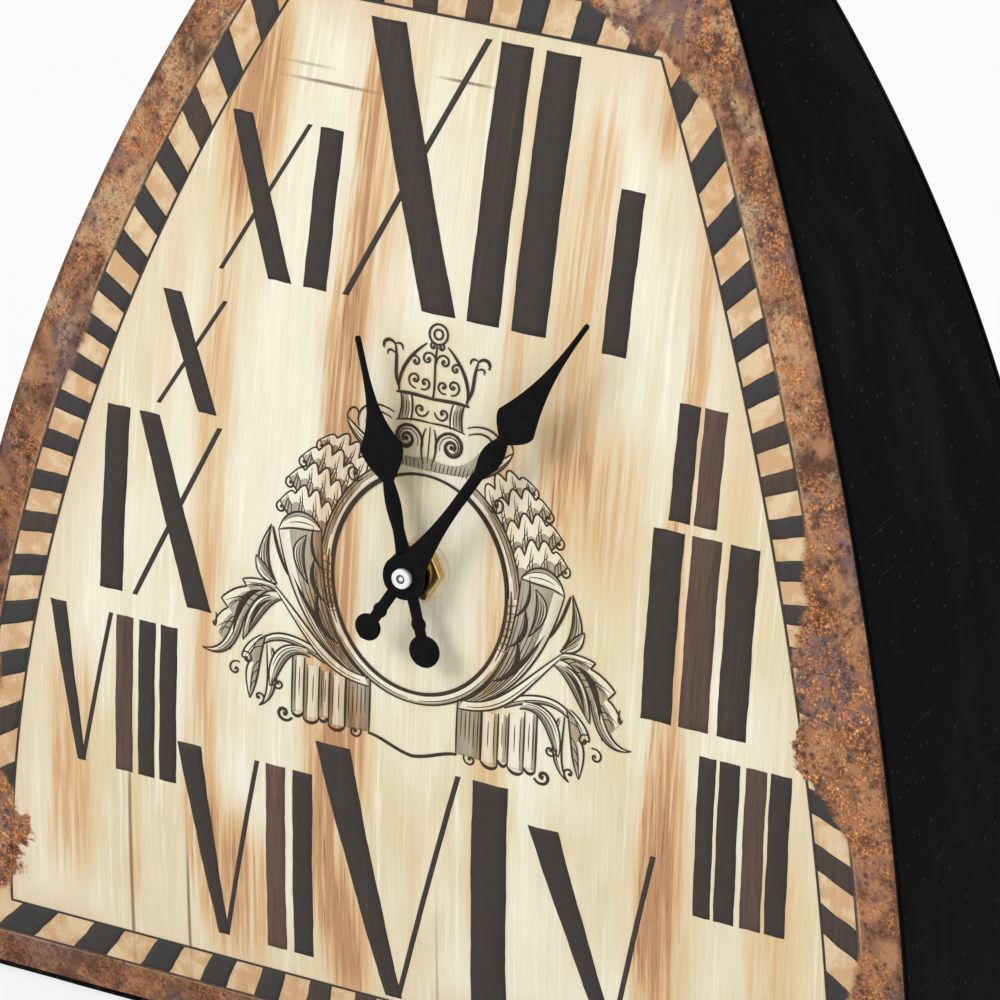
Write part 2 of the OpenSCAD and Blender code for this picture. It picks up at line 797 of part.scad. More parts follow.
// Width of a hand at a share t of its length: foot, arm and collar, then shoulder, then the taper.
function hand_width(t, length, spade_w, q) =
    t < q[6] ? q[1] + foot_share * q[0] * pow(max(0, 1 - t * length / (foot_reach * q[0])), 2)
        + (q[4] - q[1]) * cos(90 * min(1, abs(t - q[5]) / (q[6] - q[5])))
    : t < q[7] ? q[1] + (spade_w - q[1]) * sin(90 * (t - q[6]) / (q[7] - q[6]))
    : q[2] + (spade_w - q[2]) * pow(1 - (t - q[7]) / (1 - q[7]), q[8]);

// Stations along a hand, closer together at the collar and round the shoulder.
function stations(q) = concat(
    [for (i = [0:9]) (2 * q[5] - q[6]) * i / 10], [for (i = [0:9]) 2 * q[5] - q[6] + (q[6] - q[5]) * i / 5],
    [for (i = [0:7]) q[6] + (q[7] - q[6]) * i / 8], [for (i = [0:14]) q[7] + (1 - q[7]) * i / 14]);

// Outline of a hand that points up.
module hand_outline(length, tail, spade_w, shape) {
    at = stations(shape);
    half = [for (t = at) hand_width(t, length, spade_w, shape) / 2];
    last = len(at) - 1;
    circle(d = shape[0], $fn = ROUND);
    translate([0, -tail]) circle(d = shape[3], $fn = ROUND);
    translate([-shape[1] / 2, -tail]) square([shape[1], tail]);
    translate([0, -(shape[0] + tail) / 2 + shape[1]]) circle(d = tail_bead * shape[1], $fn = 32);
    polygon(concat([for (i = [0:last]) [half[i], at[i] * length]],
        [for (i = [last:-1:0]) [-half[i], at[i] * length]]));
}

collet_wall = 0.8;
module hour_hand() {
    color("#15120f") on_front(pivot_z) rotate(-hour_angle) difference() {
        union() {
            translate([0, 0, hour_hand_z])
                linear_extrude(hand_t) hand_outline(hour_len, hour_tail, hour_spade_w, hour_shape);
            translate([0, 0, hour_hand_z - hand_collet])
                cylinder(d = hour_pipe_d + 2 * collet_wall, h = hand_collet + eps, $fn = ROUND);
        }
        cylinder(d = hour_pipe_d + 2 * slip, h = 2 * minute_pipe_z, $fn = ROUND);
    }
}

module minute_hand() {
    color("#15120f") on_front(pivot_z) rotate(-minute_angle) difference() {
        union() {
            translate([0, 0, minute_hand_z])
                linear_extrude(hand_t) hand_outline(minute_len, minute_tail, minute_spade_w, minute_shape);
            translate([0, 0, minute_hand_z - hand_collet])
                cylinder(d = minute_pipe_d + 2 * collet_wall, h = hand_collet + eps, $fn = ROUND);
        }
        cylinder(d = minute_pipe_d + 2 * slip, h = 2 * minute_pipe_z, $fn = ROUND);
    }
}

// Round nut that holds the minute hand; the end of the seconds arbor shows in its hole.
module hand_nut() {
    color("white") on_front(pivot_z) translate([0, 0, minute_hand_z + hand_t + seam / 2])
        linear_extrude(nut_t) ring(minute_pipe_d + 2 * nut_wall, minute_pipe_d + 2 * slip);
}

front_panel();
side_left();
side_right();
base_tray();
top_tray();
back_panel();
back_screws();
base_felt();
handle();
handle_collars();
handle_washers();
handle_nuts();
case_front();
case_back();
mid_plate();
threaded_bush();
rubber_gasket();
bush_washer();
bush_nut();
hour_wheel();
minute_pipe();
minute_wheel();
setting_knob();
centre_wheel();
third_wheel();
seconds_wheel();
intermediate_wheel();
rotor();
stator();
coil();
circuit_board();
quartz_crystal();
timing_chip();
battery();
battery_contacts();
hour_hand();
minute_hand();
hand_nut();
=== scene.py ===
"""A table clock shaped like an old bell-sided weight: its looks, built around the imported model.

Lengths in the classes are millimetres: x to the right, h up from the body's base, and out along the
normal of the bowed front or back. A mesh gets them in metres, in the row frame.
"""

import json
import logging
import math
from dataclasses import dataclass, field
from enum import Enum

import bmesh
import bpy
import numpy as np
from mathutils import Matrix, Vector


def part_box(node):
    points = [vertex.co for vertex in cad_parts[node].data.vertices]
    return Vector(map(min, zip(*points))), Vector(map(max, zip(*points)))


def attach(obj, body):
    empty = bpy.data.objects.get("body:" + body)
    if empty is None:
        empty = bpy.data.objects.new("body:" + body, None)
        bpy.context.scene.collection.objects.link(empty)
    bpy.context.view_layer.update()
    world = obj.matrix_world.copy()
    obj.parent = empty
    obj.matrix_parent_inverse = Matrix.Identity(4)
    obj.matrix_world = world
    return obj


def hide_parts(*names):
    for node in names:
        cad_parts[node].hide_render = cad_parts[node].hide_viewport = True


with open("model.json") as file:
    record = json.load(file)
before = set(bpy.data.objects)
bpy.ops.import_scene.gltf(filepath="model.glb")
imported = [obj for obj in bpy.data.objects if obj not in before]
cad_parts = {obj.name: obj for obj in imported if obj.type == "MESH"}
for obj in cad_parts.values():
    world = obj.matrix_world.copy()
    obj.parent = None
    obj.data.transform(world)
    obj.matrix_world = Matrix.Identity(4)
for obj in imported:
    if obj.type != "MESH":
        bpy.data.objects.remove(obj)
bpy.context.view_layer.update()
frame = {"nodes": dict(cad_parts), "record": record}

MM = 0.001
HOUSING = "housing"
SHARP = 38  # edges that bend by more degrees are rounded
OUTLINE_STEPS = 84  # on each of the four edges of the front and the back
HALVINGS = 40  # when a ray is cut with an outline
Array = np.ndarray
Pair = tuple[float, float]
Triple = tuple[float, float, float]
Material = bpy.types.Material
Socket = bpy.types.NodeSocket
Piece = bpy.types.Object
log = logging.getLogger("clock")


def linear(colour: Triple) -> tuple[float, float, float, float]:
    """The linear colour, with an alpha of 1, of a screen colour whose parts run from 0 to 255."""
    parts = [((c / 255 + 0.055) / 1.055) ** 2.4 if c > 10 else c / 255 / 12.92 for c in colour]
    return (*parts, 1.0)


# Shader maths


class Value:
    """A number socket that can be used in Python expressions."""

    def __init__(self, graph: "Graph", socket: Socket) -> None:
        """Wraps a socket of a graph."""
        self.graph = graph
        self.socket = socket

    def __add__(self, other: "Number") -> "Value":
        """self + other."""
        return self.graph.maths("ADD", self, other)

    def __sub__(self, other: "Number") -> "Value":
        """self - other."""
        return self.graph.maths("SUBTRACT", self, other)

    def __rsub__(self, other: "Number") -> "Value":
        """other - self."""
        return self.graph.maths("SUBTRACT", other, self)

    def __mul__(self, other: "Number") -> "Value":
        """self * other."""
        return self.graph.maths("MULTIPLY", self, other)

    def __truediv__(self, other: "Number") -> "Value":
        """self / other."""
        return self.graph.maths("DIVIDE", self, other)

    def __rtruediv__(self, other: "Number") -> "Value":
        """other / self."""
        return self.graph.maths("DIVIDE", other, self)

    def __pow__(self, other: "Number") -> "Value":
        """self to the power of other."""
        return self.graph.maths("POWER", self, other)

    def __abs__(self) -> "Value":
        """The size of self without its sign."""
        return self.graph.maths("ABSOLUTE", self)

    __radd__ = __add__
    __rmul__ = __mul__

    def at_least(self, other: "Number") -> "Value":
        """The larger of self and other."""
        return self.graph.maths("MAXIMUM", self, other)

    def at_most(self, other: "Number") -> "Value":
        """The smaller of self and other."""
        return self.graph.maths("MINIMUM", self, other)

    def rise(self, low: float, high: float) -> "Value":
        """A smooth step from 0 at low to 1 at high; with low above high it falls.

        Args:
            low: Where the step is 0.
            high: Where the step is 1.

        Returns:
            The step.
        """
        start, end, flip = (low, high, False) if low < high else (high, low, True)
        return self.graph.value("ShaderNodeMapRange", {"interpolation_type": "SMOOTHSTEP"},
                                {0: self, 1: start, 2: end, 3: float(flip), 4: 1.0 - flip})

    def bump_at(self, centre: float, reach: float) -> "Value":
        """A round bump of height 1 at centre: (1 - d*d) squared, with d the distance in reaches."""
        away = (self - centre) / reach
        return (1.0 - away * away).at_least(0.0) ** 2.0


Number = Value | float
Tint = Triple | Socket


class Graph:
    """The node tree of one material or of the sky, with its object coordinates in millimetres."""

    def __init__(self, name: str, sky: bool = False) -> None:
        """Makes the material, or the sky, and its empty tree.

        Args:
            name: Its name.
            sky: Makes the sky.
        """
        self.owner = bpy.data.worlds.new(name) if sky else bpy.data.materials.new(name)
        self.owner.use_nodes = True
        self.tree = self.owner.node_tree
        self.tree.nodes.clear()
        self.output = self.tree.nodes.new("ShaderNodeOutputWorld" if sky else "ShaderNodeOutputMaterial")
        coords = self.node("ShaderNodeTexCoord")
        self.place = self.node("ShaderNodeVectorMath", {"operation": "SCALE"},
                               {0: coords.outputs["Object"], "Scale": 1 / MM}).outputs[0]
        parts = self.node("ShaderNodeSeparateXYZ", {}, {0: self.place})
        self.x, self.y, self.z = (Value(self, parts.outputs[i]) for i in range(3))

    def node(self, kind: str, settings: dict | None = None, inputs: dict | None = None) -> bpy.types.Node:
        """Adds any node.

        Args:
            kind: The node's type.
            settings: Its settings, which are set first.
            inputs: Values or links of its sockets, by number or name.

        Returns:
            The node.
        """
        made = self.tree.nodes.new(kind)
        for key, setting in (settings or {}).items():
            setattr(made, key, setting)
        for key, given in (inputs or {}).items():
            given = given.socket if isinstance(given, Value) else given
            if isinstance(given, Socket):
                self.tree.links.new(given, made.inputs[key])
            else:
                made.inputs[key].default_value = given
        return made

    def value(self, kind: str, settings: dict | None = None, inputs: dict | None = None,
              out: int = 0) -> Value:
        """Adds a node, as the method node does, and wraps one of its number outputs."""
        return Value(self, self.node(kind, settings, inputs).outputs[out])

    def maths(self, operation: str, *terms: Number) -> Value:
        """Adds a Math node on one or two terms."""
        return self.value("ShaderNodeMath", {"operation": operation}, dict(enumerate(terms)))

    def stretch(self, along: Triple, shift: float = 0.0) -> Socket:
        """The millimetre coordinates multiplied by a factor along each axis and moved by a shift."""
        return self.node("ShaderNodeVectorMath", {"operation": "MULTIPLY_ADD"},
                         {0: self.place, 1: along, 2: (shift, shift, shift)}).outputs[0]

    def noise(self, scale: float, detail: float = 3.0, rough: float = 0.5, warp: float = 0.0,
              shift: float = 0.0, along: Triple = (1, 1, 1)) -> Value:
        """Cloudy noise around 0.5.

        Args:
            scale: Features per millimetre.
            detail: Octaves.
            rough: Weight of the finer octaves.
            warp: Distortion.
            shift: Moves the pattern, so that two noises differ.
            along: Factor on each axis.

        Returns:
            The noise.
        """
        return self.value("ShaderNodeTexNoise", {}, {
            "Vector": self.stretch(along, shift), "Scale": scale, "Detail": detail, "Roughness": rough,
            "Distortion": warp})

    def cells(self, scale: float, shift: float = 0.0) -> Value:
        """Distance to the nearest point of a random scatter of scale points per millimetre, in cells."""
        inputs = {"Vector": self.stretch((1, 1, 1), shift), "Scale": scale}
        return self.value("ShaderNodeTexVoronoi", {}, inputs)

    def seen(self) -> Value:
        """What the camera sees, directly, reflected or through glass, against light on the object.

        Returns:
            1 for what is seen and 0 for light.
        """
        rays = self.node("ShaderNodeLightPath").outputs
        straight, mirrored = Value(self, rays["Is Camera Ray"]), Value(self, rays["Is Glossy Ray"])
        return straight.at_least(mirrored).at_least(Value(self, rays["Is Transmission Ray"]))

    def end(self, shader: bpy.types.Node) -> None:
        """Ends the tree with a shader."""
        self.tree.links.new(shader.outputs[0], self.output.inputs["Surface"])

    def tone(self) -> Value:
        """The number kept at the mesh's points."""
        return self.value("ShaderNodeAttribute", {"attribute_name": "tone"}, {}, out=2)

    def mix(self, factor: Number, a: Tint, b: Tint, blend: str = "MIX") -> Socket:
        """Blends from a colour to another one.

        Args:
            factor: 0 for the first and 1 for the second.
            a: The first, as a link or as a screen colour from 0 to 255.
            b: The second.
            blend: How they are blended.

        Returns:
            The blended colour.
        """
        settings = {"data_type": "RGBA", "blend_type": blend}
        first, second = (linear(tint) if isinstance(tint, tuple) else tint for tint in (a, b))
        return self.node("ShaderNodeMix", settings, {0: factor, 6: first, 7: second}).outputs[2]

    def shade(self, colour: Tint, by: Value) -> Socket:
        """Multiplies a colour by a number."""
        grey = self.node("ShaderNodeCombineColor", {}, {0: by, 1: by, 2: by}).outputs[0]
        return self.mix(1.0, colour, grey, "MULTIPLY")

    def bump(self, height: Value, depth: float, strength: float) -> Socket:
        """A normal from a height of 0 to 1 that is depth millimetres deep."""
        inputs = {"Height": height, "Distance": depth * MM, "Strength": strength}
        return self.node("ShaderNodeBump", {}, inputs).outputs[0]

    def surface(self, colour: Socket, rough: Number, metal: Number, normal: Socket,
                gloss: float = 0.5, sheen: float = 0.0) -> None:
        """Ends the tree with a Principled shader.

        Args:
            colour: Base colour.
            rough: Roughness.
            metal: Metallic.
            normal: Normal.
            gloss: Specular level.
            sheen: Sheen weight.
        """
        self.end(self.node("ShaderNodeBsdfPrincipled", {}, {
            "Base Color": colour, "Roughness": rough, "Metallic": metal, "Normal": normal,
            "Specular IOR Level": gloss, "Sheen Weight": sheen}))


# The body's outline


@dataclass(frozen=True)
class BellShape:
    """Half width and half depth of the body over the height h above its base.

    Sides and faces are arcs. A side starts upright at the base and a face is upright at the belly, and
    an arc that rises by a while it moves in by b has the radius (a*a + b*b) / (2*b).
    """

    base: float
    height: float
    half_base: float
    half_belly: float
    dial_h: float
    half_top: float = 51.7
    half_top_depth: float = 16.7
    belly_h: float = 70.5
    sheet: float = 1.0
    seam: float = 0.1

    @classmethod
    def from_frame(cls) -> "BellShape":
        """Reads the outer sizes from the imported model's boxes and the dial's centre from its joint.

        Returns:
            The shape.
        """
        low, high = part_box("base_tray")
        hinges = {hinge["name"]: hinge for hinge in frame["record"]["behaviour"]["joints"]}
        return cls(base=low.z / MM, height=(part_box("top_tray")[1].z - low.z) / MM, half_base=high.x / MM,
                   half_belly=-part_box("front_panel")[0].y / MM,
                   dial_h=(hinges["minute_hand_turn"]["pos_m"][2] - low.z) / MM)

    @property
    def side_r(self) -> float:
        """Radius of the side arc."""
        run = self.half_base - self.half_top
        return (self.height**2 + run**2) / (2 * run)

    @property
    def face_r(self) -> float:
        """Radius of the face arc."""
        rise, run = self.height - self.belly_h, self.half_belly - self.half_top_depth
        return (rise**2 + run**2) / (2 * run)

    def half_width(self, h: Array, inset: float = 0.0) -> Array:
        """Half width at h, with the side arc's radius made smaller by the inset."""
        return self.half_base - self.side_r + np.sqrt((self.side_r - inset) ** 2 - h**2)

    def half_depth(self, h: Array, inset: float = 0.0) -> Array:
        """Half depth at h, with the face arc's radius made smaller by the inset."""
        return self.half_belly - self.face_r + np.sqrt((self.face_r - inset) ** 2 - (h - self.belly_h) ** 2)

    def on_face(self, x: Array, h: Array, out: Array | float = 0.0, back: bool = False) -> Array:
        """Points on the front, or on the back, moved out along its normal.

        The normal at h leans by the angle whose sine is (h - belly) / radius.

        Args:
            x: Distance to the right of the middle.
            h: Height of the foot point above the base.
            out: Distance along the normal.
            back: The back in place of the front.

        Returns:
            Points in the row frame, in millimetres.
        """
        x, h, out = np.broadcast_arrays(x, h, out)
        sine = (h - self.belly_h) / self.face_r
        depth = self.half_belly - self.face_r + (self.face_r + out) * np.sqrt(1 - sine**2)
        z = self.base + self.belly_h + (self.face_r + out) * sine
        return np.stack([x, depth if back else -depth, z], axis=-1)

    def inset_of(self, x: Array, h: Array) -> Array:
        """Distance from the nearest edge of the face, measured square to the side arc or the ends."""
        side = (self.half_width(h) - np.abs(x)) * np.sqrt(1 - (h / self.side_r) ** 2)
        return np.minimum(side, np.minimum(h, self.height - h))

    def outline(self, low: float, high: float, steps: int) -> Array:
        """The face's outline between two heights, anticlockwise from the lower left corner.

        Args:
            low: Height of the lower edge.
            high: Height of the upper edge.
            steps: Points along each of the four edges.

        Returns:
            Points (x, h).
        """
        t = np.linspace(0, 1, steps, endpoint=False)
        up, down = low + (high - low) * t, high + (low - high) * t
        x = [self.half_width(np.float64(low)) * (2 * t - 1), self.half_width(up),
             self.half_width(np.float64(high)) * (1 - 2 * t), -self.half_width(down)]
        h = [np.full(steps, low), up, np.full(steps, high), down]
        return np.stack([np.concatenate(x), np.concatenate(h)], 1)


# Meshes from grids


@dataclass
class Patchwork:
    """Grids of points that are gathered into one mesh."""

    points: list[Array] = field(default_factory=list)
    quads: list[Array] = field(default_factory=list)
    tones: list[Array] = field(default_factory=list)
    count: int = 0

    def add(self, grid: Array, around: bool = False, along: bool = False, flip: bool = False,
            tone: Array | float = 0.0) -> "Patchwork":
        """Adds a grid of points of shape (rows, columns, 3).

        The quad at row i and column j joins (i, j), (i, j+1), (i+1, j+1) and (i+1, j).

        Args:
            grid: The points, in millimetres.
            around: The last column joins the first.
            along: The last row joins the first.
            flip: Turns the faces over.
            tone: A number kept at each point, the same for all or one per point.

        Returns:
            The patchwork itself.
        """
        rows, columns = grid.shape[:2]
        index = np.arange(rows * columns).reshape(rows, columns) + self.count
        if around:
            index = np.concatenate([index, index[:, :1]], axis=1)
        if along:
            index = np.concatenate([index, index[:1]], axis=0)
        corners = [index[:-1, :-1], index[:-1, 1:], index[1:, 1:], index[1:, :-1]]
        quads = np.stack(corners[::-1] if flip else corners, axis=-1).reshape(-1, 4)
        self.points.append(grid.reshape(-1, 3))
        self.quads.append(quads)
        self.tones.append(np.broadcast_to(tone, (rows, columns)).reshape(-1))
        self.count += rows * columns
        return self

    def piece(self, name: str, finish: "Finish", slot: str, body: str = HOUSING, weld: float = 0.001,
              outward: bool = False, replaces: tuple[str, ...] = ()) -> Piece:
        """Makes the gathered grids one object that rides on a body.

        Args:
            name: The piece's name.
            finish: Its finish.
            slot: The record's material slot that it stands for; not used.
            body: The CAD body it rides on.
            weld: Points closer than this are joined, in millimetres.
            outward: Recalculates the faces to point outwards.
            replaces: CAD nodes that it stands for.

        Returns:
            The object.
        """
        points, quads = np.concatenate(self.points) * MM, np.concatenate(self.quads)
        mesh = bpy.data.meshes.new(name)
        mesh.vertices.add(len(points))
        mesh.vertices.foreach_set("co", points.ravel())
        mesh.loops.add(quads.size)
        mesh.loops.foreach_set("vertex_index", quads.ravel().astype(np.int32))
        mesh.polygons.add(len(quads))
        mesh.polygons.foreach_set("loop_start", np.arange(0, quads.size, 4, dtype=np.int32))
        mesh.update(calc_edges=True)
        mesh.attributes.new("tone", "FLOAT", "POINT").data.foreach_set("value", np.concatenate(self.tones))
        self._close(mesh, weld * MM, outward)
        mesh.polygons.foreach_set("use_smooth", np.full(len(mesh.polygons), True))
        mesh.materials.append(finish.material())
        made = place(name, mesh)
        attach(made, body)
        if replaces:
            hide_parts(*replaces)
        log.info("%s: %d faces on %s", name, len(mesh.polygons), body)
        return made

    @staticmethod
    def _close(mesh: bpy.types.Mesh, distance: float, outward: bool) -> None:
        """Joins doubled points, drops faces without area and turns the shells outwards if asked.

        Args:
            mesh: The mesh.
            distance: Points closer than this are joined, in metres.
            outward: Turns the shells outwards.
        """
        work = bmesh.new()
        work.from_mesh(mesh)
        bmesh.ops.remove_doubles(work, verts=work.verts, dist=distance)
        bmesh.ops.dissolve_degenerate(work, edges=work.edges, dist=distance)
        if outward:
            bmesh.ops.recalc_face_normals(work, faces=work.faces)
        work.to_mesh(mesh)
        work.free()


def place(name: str, data: bpy.types.ID) -> Piece:
    """Puts a new object with the data into the scene.

    Args:
        name: Its name.
        data: Its mesh, camera or light.

    Returns:
        The object, at the origin.
    """
    made = bpy.data.objects.new(name, data)
    bpy.context.scene.collection.objects.link(made)
    return made


def thicken(piece: Piece, thickness: float, bevel: float = 0.0, inside: "Finish | None" = None) -> None:
    """Gives an open sheet its thickness, inwards, and rounds its cut edges.

    Args:
        piece: The sheet.
        thickness: Thickness in millimetres.
        bevel: Radius of the cut edges in millimetres, or 0 for none.
        inside: Finish of the inner side and the cut edges, or None for the outer one.
    """
    solid = piece.modifiers.new("thickness", "SOLIDIFY")
    solid.thickness = thickness * MM
    solid.offset = -1
    if inside is not None:
        piece.data.materials.append(inside.material())
        solid.material_offset = solid.material_offset_rim = 1
    if bevel:
        soften(piece, bevel)


def soften(piece: Piece, radius: float, weld: bool = False) -> None:
    """Rounds the sharp edges of a piece.

    Args:
        piece: The piece.
        radius: Radius in millimetres.
        weld: Joins loose triangles first, as a CAD node's mesh needs.
    """
    if weld:
        piece.modifiers.new("weld", "WELD").merge_threshold = 0.002 * MM
    edge = piece.modifiers.new("edges", "BEVEL")
    edge.width = radius * MM
    edge.segments = 2
    edge.limit_method = "ANGLE"
    edge.angle_limit = math.radians(SHARP)
    edge.use_clamp_overlap = True
    piece.modifiers.new("shading", "WEIGHTED_NORMAL").keep_sharp = True


def lathe(profile: Array, steps: int = 64) -> Array:
    """Turns a profile of (radius, height) points about the z axis.

    A point at angle a is (radius * cos a, radius * sin a, height).

    Args:
        profile: Points (radius, height).
        steps: Steps round the axis.

    Returns:
        A grid with a row per profile point; its columns close round the axis.
    """
    angle = np.arange(steps) * 2 * np.pi / steps
    radius, height = profile[:, :1], profile[:, 1:]
    return np.stack([radius * np.cos(angle), radius * np.sin(angle), height + 0 * angle], axis=-1)


def arc(centre: Pair, radius: float, start: float, end: float, steps: int = 8) -> Array:
    """Points of an arc in a plane, its angles in degrees."""
    angle = np.radians(np.linspace(start, end, steps + 1))
    return np.stack([centre[0] + radius * np.cos(angle), centre[1] + radius * np.sin(angle)], axis=1)


# Finishes

MADE: dict[str, Material] = {}


@dataclass(frozen=True)
class Finish:
    """What a surface is made of. A subclass paints it."""

    name: str

    def material(self) -> Material:
        """The finish as a material, made the first time that it is asked for.

        Returns:
            The material.
        """
        if self.name not in MADE:
            graph = Graph(self.name)
            self.paint(graph)
            MADE[self.name] = graph.owner
        return MADE[self.name]

    def paint(self, g: Graph) -> None:
        """Fills the material's tree."""
        raise NotImplementedError


@dataclass(frozen=True)
class Stain:
    """A vertical run of brown on the boards, in millimetres."""

    x: float
    reach: float
    low: float
    high: float
    strength: float


@dataclass(frozen=True)
class RustPatch:
    """A place where the rusty border spreads inwards over the track, in millimetres."""

    side: int
    h: float
    reach: float
    depth: float


STAINS = (
    Stain(-50, 5, 20, 232, 0.55), Stain(-20, 5.5, 14, 240, 0.95), Stain(-12, 4, 150, 240, 0.35),
    Stain(18, 5, 20, 236, 0.5), Stain(31, 7, 118, 238, 0.5), Stain(58, 4, 20, 236, 0.6),
    Stain(57, 8, 12, 100, 0.55), Stain(-82, 8, 14, 96, 0.6), Stain(-66, 3, 14, 70, 0.45),
    Stain(-14, 6, 8, 52, 0.9), Stain(-45, 6, 8, 62, 0.6), Stain(44, 6, 112, 166, 0.5),
    Stain(-14, 6, 56, 90, 0.9), Stain(-46, 7, 180, 240, 0.9), Stain(46, 6, 208, 240, 0.8),
    Stain(33, 8, 122, 158, 0.45), Stain(-38, 6, 10, 60, 0.6), Stain(2, 6, 10, 80, 0.3),
    Stain(84, 7, 20, 90, 0.5), Stain(-6, 5, 130, 175, 0.3), Stain(-62, 5, 120, 200, 0.3),
    Stain(70, 5, 100, 190, 0.35),
)
RUST_PATCHES = (
    RustPatch(1, 107, 26, 8.0), RustPatch(1, 93, 15, 3.5), RustPatch(1, 130, 18, 3.0),
    RustPatch(1, 40, 20, 4.5), RustPatch(-1, 34, 24, 12.5), RustPatch(-1, 70, 12, 2.5),
    RustPatch(1, 240, 20, 10.0), RustPatch(-1, 238, 14, 3.0), RustPatch(1, 8, 16, 5.0),
    RustPatch(-1, 150, 14, 1.5),
)


